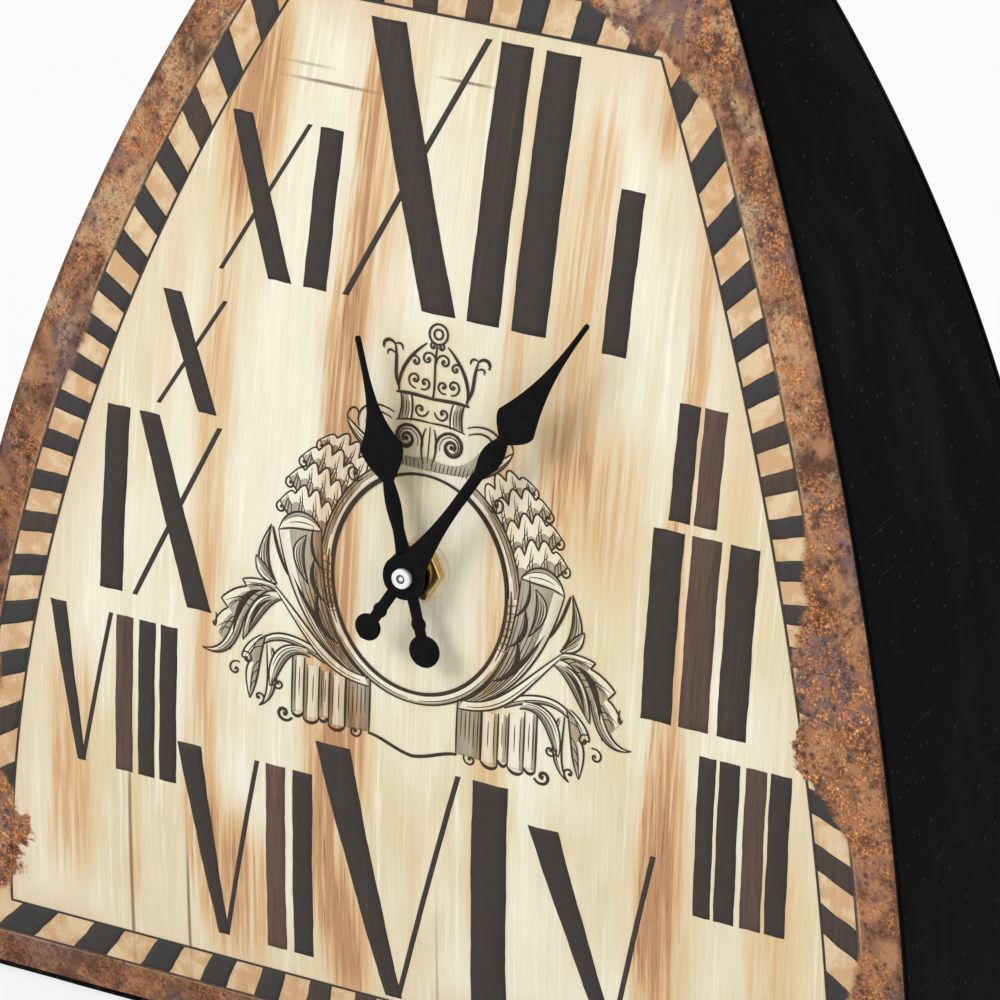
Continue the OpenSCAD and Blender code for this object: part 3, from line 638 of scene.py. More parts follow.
class DialColours:
    """Colours of the printed front over its height and width, shared by the sheet and the ink on it."""

    border = 9.3
    track = 17.6
    stain_fade = 30.0
    lost = 4.0

    def __init__(self, g: Graph, shape: BellShape) -> None:
        """Works out the heights and insets in the graph.

        Args:
            g: The material's graph.
            shape: The body's outline.
        """
        self.g = g
        self.shape = shape
        self.h = g.z - shape.base
        arc_r = shape.side_r
        upright = (arc_r * arc_r - self.h * self.h) ** 0.5
        side = (upright + (shape.half_base - arc_r) - abs(g.x)) * upright / arc_r
        self.inset = side.at_most(self.h.at_most(shape.height - self.h))
        self.grain = g.noise(1.0, 5.0, 0.6, 0.25, along=(0.75, 0, 0.026))
        self.fibre = g.noise(1.0, 4.0, 0.62, 0.4, 7, along=(2.6, 0.1, 0.09))
        self.cloud = g.noise(0.06, 4.0, 0.5, 0.2, 3, along=(1, 0.3, 0.3))

    def boards(self) -> Socket:
        """Whitewashed boards: cream with vertical brown runs, pale scrubbed places and fine fibres.

        Returns:
            Their colour.
        """
        g, h = self.g, self.h
        wobble = (g.noise(1.0, 2.0, 0.5, 0, 11, along=(0.15, 0, 0.014)) - 0.5) * 9.0
        x = g.x + wobble + (self.fibre - 0.5) * 4.0
        runs: Value | None = None
        for stain in STAINS:
            fade = min(self.stain_fade, (stain.high - stain.low) * 0.4)
            run = (x.bump_at(stain.x, stain.reach * 1.5) * stain.strength
                   * h.rise(stain.low - self.lost, stain.low + fade)
                   * h.rise(stain.high + self.lost, stain.high - fade))
            runs = run if runs is None else runs + run
        strands = self.grain.rise(0.34, 0.62) * 0.75 + self.fibre * 0.7 + 0.06
        streaky = (runs * strands + self.cloud.rise(0.58, 0.8) * 0.2).at_most(1.0)
        cream = g.mix(self.cloud.rise(0.34, 0.62), (217, 203, 166), (230, 225, 203))
        cream = g.mix(self.grain.rise(0.5, 0.72) * 0.7, cream, (237, 236, 224))
        warm = g.mix(streaky.rise(0.05, 0.6), cream, (214, 178, 132))
        brown = g.mix(streaky.rise(0.42, 1.0), warm, (184, 140, 102))
        dark = g.mix((streaky * self.fibre.rise(0.42, 0.7)).rise(0.35, 0.95) * 0.8, brown, (146, 96, 66))
        edge = self.inset.rise(30, 15) * self.cloud.rise(0.36, 0.66)
        toned = g.mix(edge * 0.62, dark, (204, 166, 120))
        toned = g.mix(self._joints(), toned, (120, 80, 52))
        band = self.inset.rise(self.track + 0.6, self.track - 0.4)
        bleach = g.noise(0.16, 3.0, 0.6, 0.3, 25)
        strip = g.mix(bleach.rise(0.42, 0.62), (196, 150, 104), (216, 190, 152))
        toned = g.mix(band * 0.8, toned, strip)
        return g.shade(toned, self.fibre * 0.3 + self.grain * 0.12 + 0.8)

    def _joints(self) -> Value:
        """Faint joints: upright ones low on the boards and short level ones high up.

        Returns:
            How much of the joints' dark colour shows.
        """
        g, h = self.g, self.h
        upright = (g.x.bump_at(-67.5, 0.7) * h.rise(66, 50) + g.x.bump_at(-53.5, 0.6) * h.rise(52, 30)
                   + g.x.bump_at(6.5, 0.5) * h.rise(60, 20) * 0.5)
        level = (h.bump_at(213, 0.55) * g.x.bump_at(-30, 14) + h.bump_at(218.5, 0.5) * g.x.bump_at(0, 9)
                 + h.bump_at(216, 0.5) * g.x.bump_at(-36, 8) * 0.5)
        return ((upright + level) * self.fibre.rise(0.1, 0.5)).at_most(0.8)

    def rust(self) -> Socket:
        """Mottled rust: purple-brown ground, orange blooms, pale worn places, dark pits and bright specks.

        Returns:
            Its colour.
        """
        g = self.g
        broad = g.noise(0.11, 4.0, 0.62, 0.8, 21, along=(1, 1, 0.8))
        medium = g.noise(0.45, 4.0, 0.7, 0.5, 31)
        fine = g.noise(1.9, 3.0, 0.75, 0.3, 41)
        ground = g.mix(broad.rise(0.38, 0.62), (90, 58, 44), (166, 118, 86))
        purple = g.noise(0.075, 3.0, 0.5, 0.3, 51).rise(0.5, 0.64)
        ground = g.mix(purple * 0.75, ground, (112, 90, 92))
        worn = g.noise(0.12, 4.0, 0.6, 0.5, 91, along=(1, 1, 0.7)).rise(0.46, 0.62)
        ground = g.mix(worn * (self.h.rise(105, 190) * 0.7 + 0.08), ground, (202, 168, 126))
        near = self.h.bump_at(106, 32) * g.x.rise(50, 80) + self.h.bump_at(34, 30) * g.x.rise(-50, -80)
        blooming = g.noise(0.06, 2.0, 0.5, 0, 61).rise(0.4, 0.56) + near
        bloom = medium.rise(0.42, 0.6) * blooming.at_most(1.0)
        hot = g.mix(fine.rise(0.42, 0.6), (140, 80, 46), (200, 136, 84))
        ground = g.mix(bloom * 0.85, ground, hot)
        specks = g.cells(0.95, shift=5).rise(0.42, 0.2) * fine.rise(0.46, 0.58)
        ground = g.mix(specks * (bloom * 0.45 + near * 0.4 + 0.05).at_most(1.0), ground, (226, 184, 134))
        pits = g.cells(0.55, shift=15).rise(0.5, 0.2) * medium.rise(0.54, 0.4)
        ground = g.mix(pits * 0.8, ground, (60, 42, 38))
        grit = fine.rise(0.5, 0.38) * broad.rise(0.6, 0.42)
        ground = g.mix(grit * 0.6, ground, (66, 46, 40))
        dust = self.h.rise(30, 4) * medium.rise(0.4, 0.6)
        ground = g.mix(dust * 0.6, ground, (74, 52, 44))
        rim = self.inset.rise(1.6, 0.4) * medium.rise(0.4, 0.56)
        ground = g.mix(rim * 0.6, ground, (50, 38, 34))
        dim = self.h.bump_at(95, 70) * g.x.rise(-60, -85) * 0.25
        return g.shade(ground, (fine - 0.5) * (bloom * 0.7 + 0.45) + (1.0 - dim))

    def rusty(self) -> Value:
        """The border and the patches that spread inwards from it.

        Returns:
            How much of the surface is rust.
        """
        g = self.g
        spread: Value | None = None
        for patch in RUST_PATCHES:
            one = self.h.bump_at(patch.h, patch.reach) * (g.x * patch.side).rise(22, 40) * patch.depth
            spread = one if spread is None else spread + one
        ragged = (g.noise(0.5, 5.0, 0.7, 0.4, 71) - 0.5) * (spread.at_most(4.0) + 1.5)
        blotch = g.noise(0.14, 3.0, 0.6, 0.5, 81) * 1.3 + 0.38
        return (spread * blotch + ragged + self.border - self.inset).rise(-0.7, 0.8)


@dataclass(frozen=True)
class PrintedSheet(Finish):
    """The printed front: boards in the middle, a track band, and a rusty border."""

    shape: BellShape

    def paint(self, g: Graph) -> None:
        """Satin print that is smooth on the boards and grainy where it shows rust.

        Args:
            g: The material's graph.
        """
        colours = DialColours(g, self.shape)
        rusty = colours.rusty()
        colour = g.mix(rusty, colours.boards(), colours.rust())
        grain = colours.fibre * (1.0 - rusty) * 0.35 + g.noise(1.6, 3.0, 0.7) * rusty
        rough = rusty * 0.12 + 0.52 + colours.grain * 0.08
        g.surface(colour, rough, 0.0, g.bump(grain, 0.12, 0.35), gloss=0.2)


class InkTone(Enum):
    """The inks of the print: (fresh, worn) colours."""

    NUMERAL = ((60, 55, 51), (100, 78, 66))
    TRACK = ((60, 58, 56), (88, 68, 54))
    SCROLL = ((58, 48, 38), (104, 84, 62))


@dataclass(frozen=True)
class PrintInk(Finish):
    """Ink printed on the boards, worn to brown streaks and lost where the rust spreads."""

    shape: BellShape
    tone: InkTone

    def paint(self, g: Graph) -> None:
        """Worn places follow the fibres, and each stroke's own number says how worn it is.

        Args:
            g: The material's graph.
        """
        colours = DialColours(g, self.shape)
        fresh, worn = self.tone.value
        wear = (g.tone() * 0.5 + colours.grain * 0.45 + colours.fibre * 0.6).rise(0.66, 1.1)
        ink = g.mix(wear, fresh, worn)
        bare = (colours.fibre * 0.6 + colours.grain * 0.4 + g.tone() * 0.1).rise(0.69, 0.8)
        ink = g.mix(bare * 0.55, ink, (176, 138, 98))
        ink = g.shade(ink, g.noise(1.2, 3.0, 0.6, 0, 9) * 0.3 + 0.85)
        if self.tone is InkTone.SCROLL:
            ink = self.washed(g, colours, ink)
        colour = g.mix(colours.rusty(), ink, colours.rust())
        g.surface(colour, colours.grain * 0.15 + 0.5, 0.0, g.bump(colours.fibre, 0.05, 0.3), gloss=0.15)

    @staticmethod
    def washed(g: Graph, colours: DialColours, ink: Socket) -> Socket:
        """Replaces the ink by a thin wash over the boards where the shape's number says so.

        Args:
            g: The material's graph.
            colours: Colours of the dial.
            ink: Colour of the ink.

        Returns:
            The colour of ink and washes.
        """
        boards = colours.boards()
        shade = g.mix(colours.fibre.rise(0.3, 0.7) * 0.3 + 0.42, boards, (92, 80, 64))
        light = g.mix(0.5, boards, (232, 228, 208))
        wash = g.mix(g.tone().rise(2.4, 2.6), shade, light)
        return g.mix(g.tone().rise(1.3, 1.6), ink, wash)


@dataclass(frozen=True)
class BlackPaint(Finish):
    """Flat black sprayed paint on sheet steel, dusty and rubbed near the base."""

    ground: Triple
    dusty: float

    def paint(self, g: Graph) -> None:
        """A fine orange peel, streaks of dust, specks, fine scuffs, and rubbed lower edges.

        Args:
            g: The material's graph.
        """
        peel = g.noise(1.1, 3.0, 0.5)
        dust = g.noise(0.05, 5.0, 0.6, 0.5, 4, along=(1, 1, 0.35)).rise(0.42, 0.75) * self.dusty
        specks = g.cells(0.28, shift=6).rise(0.14, 0.06) * self.dusty
        scuffs = g.noise(0.9, 3.0, 0.6, 0.2, 55, along=(1, 0.06, 1.6)).rise(0.66, 0.74) * self.dusty
        colour = g.mix(dust * 0.8, self.ground, (40, 39, 37))
        colour = g.mix((specks + scuffs * 0.6).at_most(1.0) * 0.6, colour, (84, 80, 74))
        rub = g.z.rise(14, 2) * g.noise(0.5, 5.0, 0.7, 0.4, 12).rise(0.54, 0.64)
        colour = g.mix(rub * 0.55, colour, (66, 50, 40))
        g.surface(colour, dust * 0.2 + 0.56 + peel * 0.06, 0.0, g.bump(peel, 0.06, 0.4), gloss=0.012)


BLACK = BlackPaint("black_sheet_paint", (10, 10, 10), 0.5)


@dataclass(frozen=True)
class ForgedIron(Finish):
    """Blackened iron with brown rust in the hollows and rubbed metal on the crests."""

    def paint(self, g: Graph) -> None:
        """Black scale that has flaked to brown and orange rust, with grey metal where hands rub it.

        Args:
            g: The material's graph.
        """
        broad = g.noise(0.085, 4.0, 0.62, 0.6)
        scale = g.noise(0.8, 5.0, 0.7, 0.3, 5)
        grit = g.noise(2.6, 3.0, 0.7, 0.0, 45)
        colour = g.mix(scale.rise(0.4, 0.62), (26, 23, 22), (56, 49, 45))
        rust = (broad * 0.75 + scale * 0.45).rise(0.58, 0.68)
        orange = g.mix(grit.rise(0.4, 0.6), (92, 54, 36), (150, 92, 56))
        colour = g.mix(rust * 0.85, colour, orange)
        pits = g.cells(0.5, shift=35).rise(0.3, 0.1) * scale.rise(0.55, 0.4)
        colour = g.mix(pits * 0.7, colour, (14, 12, 12))
        handled = g.noise(0.3, 4.0, 0.6, 0.2, 15).rise(0.56, 0.7)
        rubbed = handled * (1.0 - rust) * g.z.rise(262, 284)
        colour = g.mix(rubbed * 0.6, colour, (112, 106, 100))
        rough = rust * 0.3 + 0.4 + scale * 0.15
        g.surface(colour, rough, (1.0 - rust) * 0.5, g.bump(scale, 0.35, 0.8), gloss=0.25)


@dataclass(frozen=True)
class PlatedSteel(Finish):
    """Zinc-plated steel with a spangled grey."""

    def paint(self, g: Graph) -> None:
        """Soft spangle, fine scratches and a bluish bloom.

        Args:
            g: The material's graph.
        """
        spangle = g.cells(0.7)
        scratch = g.noise(0.9, 3.0, 0.6, 0.1, 3, along=(6, 1, 1))
        colour = g.mix(spangle, (158, 161, 164), (118, 121, 125))
        colour = g.mix(g.noise(0.3, 3.0).rise(0.5, 0.7) * 0.5, colour, (132, 124, 98))
        g.surface(colour, scratch * 0.2 + 0.26, 1.0, g.bump(scratch, 0.02, 0.3))


@dataclass(frozen=True)
class TurnedBrass(Finish):
    """Brass with fine turning lines and a light tarnish."""

    def paint(self, g: Graph) -> None:
        """Lines follow the depth; tarnish is cloudy.

        Args:
            g: The material's graph.
        """
        lines = g.noise(1.0, 3.0, 0.6, 0.1, along=(0.4, 9, 0.4))
        tarnish = g.noise(0.35, 4.0, 0.6, 0.2, 8).rise(0.48, 0.72)
        colour = g.mix(tarnish * 0.6, (226, 196, 132), (170, 134, 80))
        g.surface(colour, lines * 0.16 + 0.22 + tarnish * 0.12, 1.0, g.bump(lines, 0.02, 0.35))


@dataclass(frozen=True)
class MouldedPlastic(Finish):
    """Injection-moulded plastic with a fine spark-eroded grain."""

    colour: Triple
    second: Triple
    rough: float
    grain: float

    def paint(self, g: Graph) -> None:
        """Faint flow marks, grain and handling gloss.

        Args:
            g: The material's graph.
        """
        flow = g.noise(0.12, 3.0, 0.5, 1.2)
        fine = g.noise(3.2, 2.0, 0.6, 0, 6)
        worn = g.noise(0.25, 4.0, 0.6, 0.3, 16).rise(0.5, 0.75)
        colour = g.mix(flow.rise(0.35, 0.7), self.colour, self.second)
        g.surface(colour, fine * 0.1 + (self.rough - 0.05) - worn * 0.08, 0.0, g.bump(fine, self.grain, 0.4))


@dataclass(frozen=True)
class SoftRubber(Finish):
    """Plain moulded rubber with a dry bloom."""

    def paint(self, g: Graph) -> None:
        """Bloom in clouds over a dull black.

        Args:
            g: The material's graph.
        """
        bloom = g.noise(0.5, 4.0, 0.6).rise(0.45, 0.75)
        colour = g.mix(bloom * 0.6, (24, 24, 25), (52, 51, 50))
        g.surface(colour, bloom * 0.1 + 0.72, 0.0, g.bump(bloom, 0.04, 0.4))


@dataclass(frozen=True)
class WoundWire(Finish):
    """Varnished copper wire wound on a pale bobbin, turn by turn along x."""

    half_length: float
    middle: float
    pitch: float = 0.4

    def paint(self, g: Graph) -> None:
        """Turns a pitch apart between the bobbin's two flanges.

        Args:
            g: The material's graph.
        """
        turns = g.maths("SINE", g.x * (2 * math.pi / self.pitch)) * 0.5 + 0.5
        flange = abs(g.x - self.middle).rise(self.half_length - 1.0, self.half_length - 0.9)
        wire = g.mix(turns, (92, 40, 18), (196, 104, 54))
        colour = g.mix(flange, wire, (226, 220, 204))
        g.surface(colour, flange * 0.2 + 0.3, (1.0 - flange) * 0.8, g.bump(turns * (1.0 - flange), 0.1, 0.8))


@dataclass(frozen=True)
class SolderMask(Finish):
    """Green solder mask over copper tracks."""

    spacing: float = 1.3

    def paint(self, g: Graph) -> None:
        """Tracks show as evenly spaced lighter lines that bend at random.

        Args:
            g: The material's graph.
        """
        bend = g.noise(0.25, 1.0, 0.5, 0, 2) * 6.0
        wave = g.maths("SINE", (g.x + bend) * (2 * math.pi / self.spacing))
        track = wave.rise(0.35, 0.6)
        colour = g.mix(track, (14, 70, 38), (40, 118, 62))
        colour = g.mix(g.cells(0.55, shift=3).rise(0.16, 0.12), colour, (200, 200, 196))
        g.surface(colour, 0.32 + track * 0.06, 0.0, g.bump(track, 0.04, 0.5))


@dataclass(frozen=True)
class CellJacket(Finish):
    """Plain printed sleeve of the cell, in two bands, with bare steel at its ends."""

    low: float
    high: float

    def paint(self, g: Graph) -> None:
        """The sleeve is dark with a copper-coloured band at the button's end.

        Args:
            g: The material's graph.
        """
        along = (g.x - self.low) / (self.high - self.low)
        band = along.rise(0.7, 0.703)
        steel = along.rise(0.962, 0.966).at_least(along.rise(0.014, 0.01))
        fine = g.noise(0.7, 3.0, 0.6, along=(0.6, 4, 4))
        sleeve = g.mix(band, (40, 42, 46), (176, 118, 66))
        colour = g.mix(steel, g.shade(sleeve, fine * 0.2 + 0.9), (206, 206, 204))
        g.surface(colour, fine * 0.12 + 0.22, steel * 0.9 + band * 0.3, g.bump(fine, 0.02, 0.3))


@dataclass(frozen=True)
class SatinLacquer(Finish):
    """Black lacquer on stamped hands, with dust and a few fine scratches."""

    def paint(self, g: Graph) -> None:
        """Nearly even black that breaks up where it has been touched.

        Args:
            g: The material's graph.
        """
        touch = g.noise(0.3, 5.0, 0.65, 0.3)
        fine = g.noise(4.0, 2.0, 0.6, 0, 3)
        colour = g.mix(touch.rise(0.45, 0.75), (8, 8, 8), (17, 16, 15))
        g.surface(colour, touch * 0.18 + 0.26 + fine * 0.06, 0.0, g.bump(fine, 0.015, 0.3), gloss=0.07)


@dataclass(frozen=True)
class WhiteLacquer(Finish):
    """White lacquer that is thin on the nut's edges."""

    def paint(self, g: Graph) -> None:
        """Off-white with grey where it has worn.

        Args:
            g: The material's graph.
        """
        worn = g.noise(1.3, 4.0, 0.6).rise(0.52, 0.72)
        colour = g.mix(worn * 0.5, (236, 236, 238), (176, 178, 184))
        g.surface(colour, worn * 0.2 + 0.28, worn * 0.3, g.bump(worn, 0.02, 0.3))


@dataclass(frozen=True)
class Felt(Finish):
    """Short black felt."""

    def paint(self, g: Graph) -> None:
        """Matted fibres in two directions.

        Args:
            g: The material's graph.
        """
        across = g.noise(0.9, 4.0, 0.75, 1.5, along=(3, 1, 1))
        fibres = across * 0.5 + g.noise(0.9, 4.0, 0.75, 1.5, 9, along=(1, 3, 1)) * 0.5
        colour = g.mix(fibres.rise(0.35, 0.68), (16, 16, 17), (58, 57, 58))
        g.surface(colour, 0.95, 0.0, g.bump(fibres, 0.5, 0.8), sheen=0.35)


# The printed front


FRESH = 0.15
BROWNED = 0.75


@dataclass(frozen=True)
class Bar:
    """A stroke of a numeral: x of its edges at the top and at the foot, as left and right, and its wear."""

    top: Pair
    foot: Pair
    wear: float = FRESH


@dataclass(frozen=True)
class Numeral:
    """One hour's strokes between two heights above the dial's centre."""

    name: str
    top: float
    foot: float
    bars: tuple[Bar, ...]


def upright(*edges: float, worn: int = -1) -> tuple[Bar, ...]:
    """Upright bars from pairs of left and right edges; the one with the number worn has browned."""
    pairs = enumerate(zip(edges[::2], edges[1::2]))
    return tuple(Bar((a, b), (a, b), BROWNED if number == worn else FRESH) for number, (a, b) in pairs)


def thin(top: float, foot: float, width: float = 1.2) -> Bar:
    """A thin slanted stroke from its middle at the top to its middle at the foot."""
    return Bar((top - width / 2, top + width / 2), (foot - width / 2, foot + width / 2))


NUMERALS = (
    Numeral("XII", 109.5, 53.5, (Bar((-23.5, -15.5), (-4.1, 3.6)), thin(3.4, -21.8, 1.4))
            + upright(6.2, 13.5, 16.3, 24.2)),
    Numeral("I", 86.0, 53.0, upright(36.8, 42.3)),
    Numeral("II", 46.6, 22.4, upright(55.2, 59.8, 60.8, 65.8, worn=1)),
    Numeral("III", 20.3, -20.5, upright(52.1, 59.0, 60.7, 67.3, 69.2, 75.8, worn=1)),
    Numeral("IIII", -25.7, -61.6, upright(65.7, 69.6, 70.4, 75.0, 76.3, 81.0, 81.8, 86.5, worn=2)),
    Numeral("V", -50.5, -95.0, (Bar((27.5, 34.6), (45.2, 48.6)), thin(56.4, 47.6))),
    Numeral("VI", -43.5, -99.5, (Bar((-22.6, -14.3), (-6.0, -2.0)), thin(11.2, -2.9)) + upright(14.6, 22.8)),
    Numeral("VII", -51.5, -95.0, (Bar((-55.7, -50.0), (-46.2, -43.6)), thin(-36.4, -44.2, 1.1))
            + upright(-34.2, -29.6, -27.8, -23.1, worn=0)),
    Numeral("VIII", -25.9, -61.7, (Bar((-87.1, -83.2), (-80.2, -78.2)), thin(-72.2, -78.9, 1.0))
            + upright(-70.8, -66.7, -65.3, -61.3, -60.1, -56.0, worn=0)),
    Numeral("IX", 20.0, -20.5, upright(-75.1, -69.6)
            + (Bar((-67.4, -62.6), (-53.8, -48.0)), thin(-48.2, -66.6))),
    Numeral("X", 46.8, 22.5, (Bar((-64.1, -59.6), (-53.6, -49.1)), thin(-49.2, -63.1, 1.0))),
    Numeral("XI", 86.0, 53.3, (Bar((-52.2, -47.5), (-39.9, -34.4)), thin(-34.0, -51.0, 1.0))
            + upright(-31.6, -26.2)),
)


def bezier(*corners: Pair, steps: int = 26) -> Array:
    """A cubic curve: the sum of (1-t)^3, 3t(1-t)^2, 3t^2(1-t) and t^3 times its four corners.

    Args:
        *corners: Its corners.
        steps: Number of points.

    Returns:
        Its points.
    """
    t = np.linspace(0, 1, steps)[:, None]
    a, b, c, d = (np.array(corner, float) for corner in corners)
    return a * (1 - t) ** 3 + b * 3 * t * (1 - t) ** 2 + c * 3 * t**2 * (1 - t) + d * t**3


def edges(a: tuple[Pair, ...], b: tuple[Pair, ...], steps: int) -> tuple[Array, Array]:
    """Two cubic curves, the edges of a leaf.

    Args:
        a: Corners of the first: root, two knees and tip.
        b: Corners of the second, without the tip, or without both ends, where it shares them.
        steps: Points of each.

    Returns:
        Both curves.
    """
    root = a[:1] if len(b) == 2 else ()
    tip = a[3:] if len(b) < 4 else ()
    return bezier(*a, steps=steps), bezier(*root, *b, *tip, steps=steps)


def spiral(centre: Pair, outer: float, inner: float, start: float, turns: float) -> Array:
    """A spiral whose radius shrinks by a constant ratio per degree.

    Args:
        centre: Its eye.
        outer: Radius at the start.
        inner: Radius at the end.
        start: Angle of the start, in degrees.
        turns: Turns to the end, negative for clockwise.

    Returns:
        Points (x, y).
    """
    t = np.linspace(0, 1, max(24, int(abs(turns) * 30)))
    angle = np.radians(start) + 2 * np.pi * turns * t
    radius = outer * (inner / outer) ** t
    return np.stack([centre[0] + radius * np.cos(angle), centre[1] + radius * np.sin(angle)], 1)


def normals(line: Array) -> Array:
    """Unit normals on the left of a line.

    Args:
        line: Its points.

    Returns:
        A normal for each point.
    """
    run = np.gradient(line, axis=0)
    run = run / np.maximum(np.linalg.norm(run, axis=1, keepdims=True), 1e-9)
    return np.stack([-run[:, 1], run[:, 0]], axis=1)


class Ink(Enum):
    """What a printed shape is filled with, as the number kept at its points: wear from 0 to 1, or a wash."""

    LINE = 0.3
    SOFT = 0.8
    SHADE = 2.0
    LIGHT = 3.0


@dataclass
class Stroke:
    """A printed shape between two edges of as many points, what fills it, and its place in the order."""

    left: Array
    right: Array
    ink: Ink
    order: int


@dataclass
class ScrollFrame:
    """An oval frame of acanthus leaves and scrolls with a basket of scrolls on top and a folded ribbon below.

    Everything right of the middle line is drawn once and mirrored. Places are millimetres from the
    dial's centre, measured from the middle line.
    """

    middle: float = 0.3
    oval_h: float = -3.5
    half_w: float = 20.2
    half_h: float = 23.6
    fine: float = 0.26
    line: float = 0.46
    bold: float = 0.74
    strokes: list[Stroke] = field(default_factory=list)

    def keep(self, left: Array, right: Array, ink: Ink, mirrored: bool = True) -> None:
        """Keeps a shape and its mirror image.

        Args:
            left: One edge.
            right: The other edge.
            ink: What fills it.
            mirrored: Keeps the mirror image as well.
        """
        order = self.strokes[-1].order + 1 if self.strokes else 0
        self.strokes.append(Stroke(left, right, ink, order))
        if mirrored:
            self.strokes.append(Stroke(left * (-1, 1), right * (-1, 1), ink, order))

    def pen(self, points: Array, width: float, ends: Pair = (0.45, 0.35), ink: Ink = Ink.LINE,
            mirrored: bool = True) -> None:
        """Keeps a pen stroke that swells in its middle.

        Its width at t is width * (end + (1 - end) * sin(pi * t)^0.7), with the ends' shares from ends.

        Args:
            points: Its middle line.
            width: Its widest width.
            ends: Share of the width at the start and at the end.
            ink: What it is drawn with.
            mirrored: Draws it on both sides.
        """
        t = np.linspace(0, 1, len(points))
        share = ends[0] * (1 - t) + ends[1] * t
        half = normals(points) * (width / 2 * (share + (1 - share) * np.sin(np.pi * t) ** 0.7))[:, None]
        self.keep(points + half, points - half, ink, mirrored)

    @staticmethod
    def between(a: Array, b: Array, share: float, start: float = 0.0, end: float = 1.0) -> Array:
        """The curve at a share of the way from curve a to curve b, cut to a stretch of its length."""
        first, last = int(start * (len(a) - 1)), int(end * (len(a) - 1)) + 1
        return (a + (b - a) * share)[first:last]

    def blade(self, a: Array, b: Array, dark: float = 0.5, lines: int = 4, body: Ink = Ink.LIGHT) -> None:
        """A leaf or stem between two edges: a pale body, a shaded side, flowing veins and its outline.

        Args:
            a: The edge on the shaded side.
            b: The other edge.
            dark: Share of the width that is shaded.
            lines: Veins.
            body: Fill of the pale side.
        """
        self.keep(a, b, body)
        if dark:
            self.keep(a, self.between(a, b, dark), Ink.SHADE)
        for number in range(lines):
            share = (number + 0.7) / (lines + 0.8)
            stop = 0.93 - 0.32 * share
            self.pen(self.between(a, b, share, 0.06 + 0.12 * (number % 2), stop), self.fine, (0.5, 0.3))
        self.pen(a, self.line, (0.7, 0.5))
        self.pen(b, self.line, (0.6, 0.5))

    def lobed(self, a: Array, b: Array, lobes: int, depth: float, dark: float, curly: bool = False) -> None:
        """A leaf whose edge b is cut into lobes, with veins into each.

        The edge moves towards a by depth * (1 - rise), where a pointed lobe rises as saw^0.6 while saw goes
        from 0 to 1 along it, and a curly one as sin(pi * saw^1.4)^0.6.

        Args:
            a: The smooth edge.
            b: The line through the lobes' tips.
            lobes: How many lobes it has.
            depth: Share of the width that each notch cuts in.
            dark: Share of the width that is shaded.
            curly: Rounds the lobes.
        """
        t = np.linspace(0, 1, len(a)) * lobes
        saw = np.where(t >= lobes, 1.0, t % 1.0)
        rise = np.clip(np.sin(np.pi * saw**1.4), 0, 1) ** 0.6 if curly else saw**0.6
        cut = b + (a - b) * (depth * (1 - rise))[:, None]
        self.keep(a, cut, Ink.LIGHT)
        self.keep(a, self.between(a, cut, dark), Ink.SHADE)
        count = len(a) - 1
        for lobe in range(lobes):
            tip = min(count, int((lobe + (0.66 if curly else 0.97)) / lobes * count))
            for back, reach in ((0.85, 0.86), (0.55, 0.7), (1.15, 0.6)):
                root = max(0, int((lobe + 0.97 - back) / lobes * count))
                knee = tuple(a[root] * 0.45 + cut[(root + tip) // 2] * 0.55)
                end = tuple(a[tip] + (cut[tip] - a[tip]) * reach)
                self.pen(bezier(tuple(a[root]), knee, knee, end, steps=9), self.fine, (0.9, 0.3))
        self.pen(a, self.line, (0.7, 0.5))
        self.pen(cut, self.line * 0.95, (0.6, 0.6))

    def scroll(self, x: float, h: float, radius: float, start: float, turns: float, width: float) -> None:
        """A spiral of a pen stroke with a dot in its eye.

        Args:
            x: Its eye, from the middle line.
            h: Its eye, above the dial's centre.
            radius: Its radius at the start.
            start: Angle of the start, in degrees.
            turns: Turns to the eye, negative for clockwise.
            width: Width of the stroke.
        """
        self.pen(spiral((x, h), radius, radius * 0.2, start, turns), width, (0.7, 0.5))
        dot = spiral((x, h), radius * 0.13, radius * 0.13, 0, 1)
        self.keep(dot, dot * 0 + (x, h), Ink.LINE)

    def oval(self) -> None:
        """The oval's line, and the second one under it with a pale band between."""
        angle = np.linspace(-90, 90, 61)
        self.pen(self.ring(angle, 0.0), self.bold, (0.9, 0.7))
        low = np.linspace(-90, -22, 40)
        self.blade(self.ring(low, 2.3), self.ring(low, 0.3), 0.3, 1)
        self.pen(self.ring(np.linspace(-30, 8, 24), 1.1), self.line, (0.4, 0.4))
        for a in np.arange(-24, 4, 4.0):
            pair = self.ring(np.array([a, a + 1.2]), 0.0)
            out = self.ring(np.array([a, a + 1.2]), 2.2)
            self.pen(np.linspace(pair[0], out[1], 4), self.fine, (0.9, 0.4), Ink.SOFT)

    def ring(self, angle: Array, grow: float) -> Array:
        """Points of the oval made larger by grow, at angles in degrees."""
        a = np.radians(angle)
        return np.stack([(self.half_w + grow) * np.cos(a), self.oval_h + (self.half_h + grow) * np.sin(a)], 1)

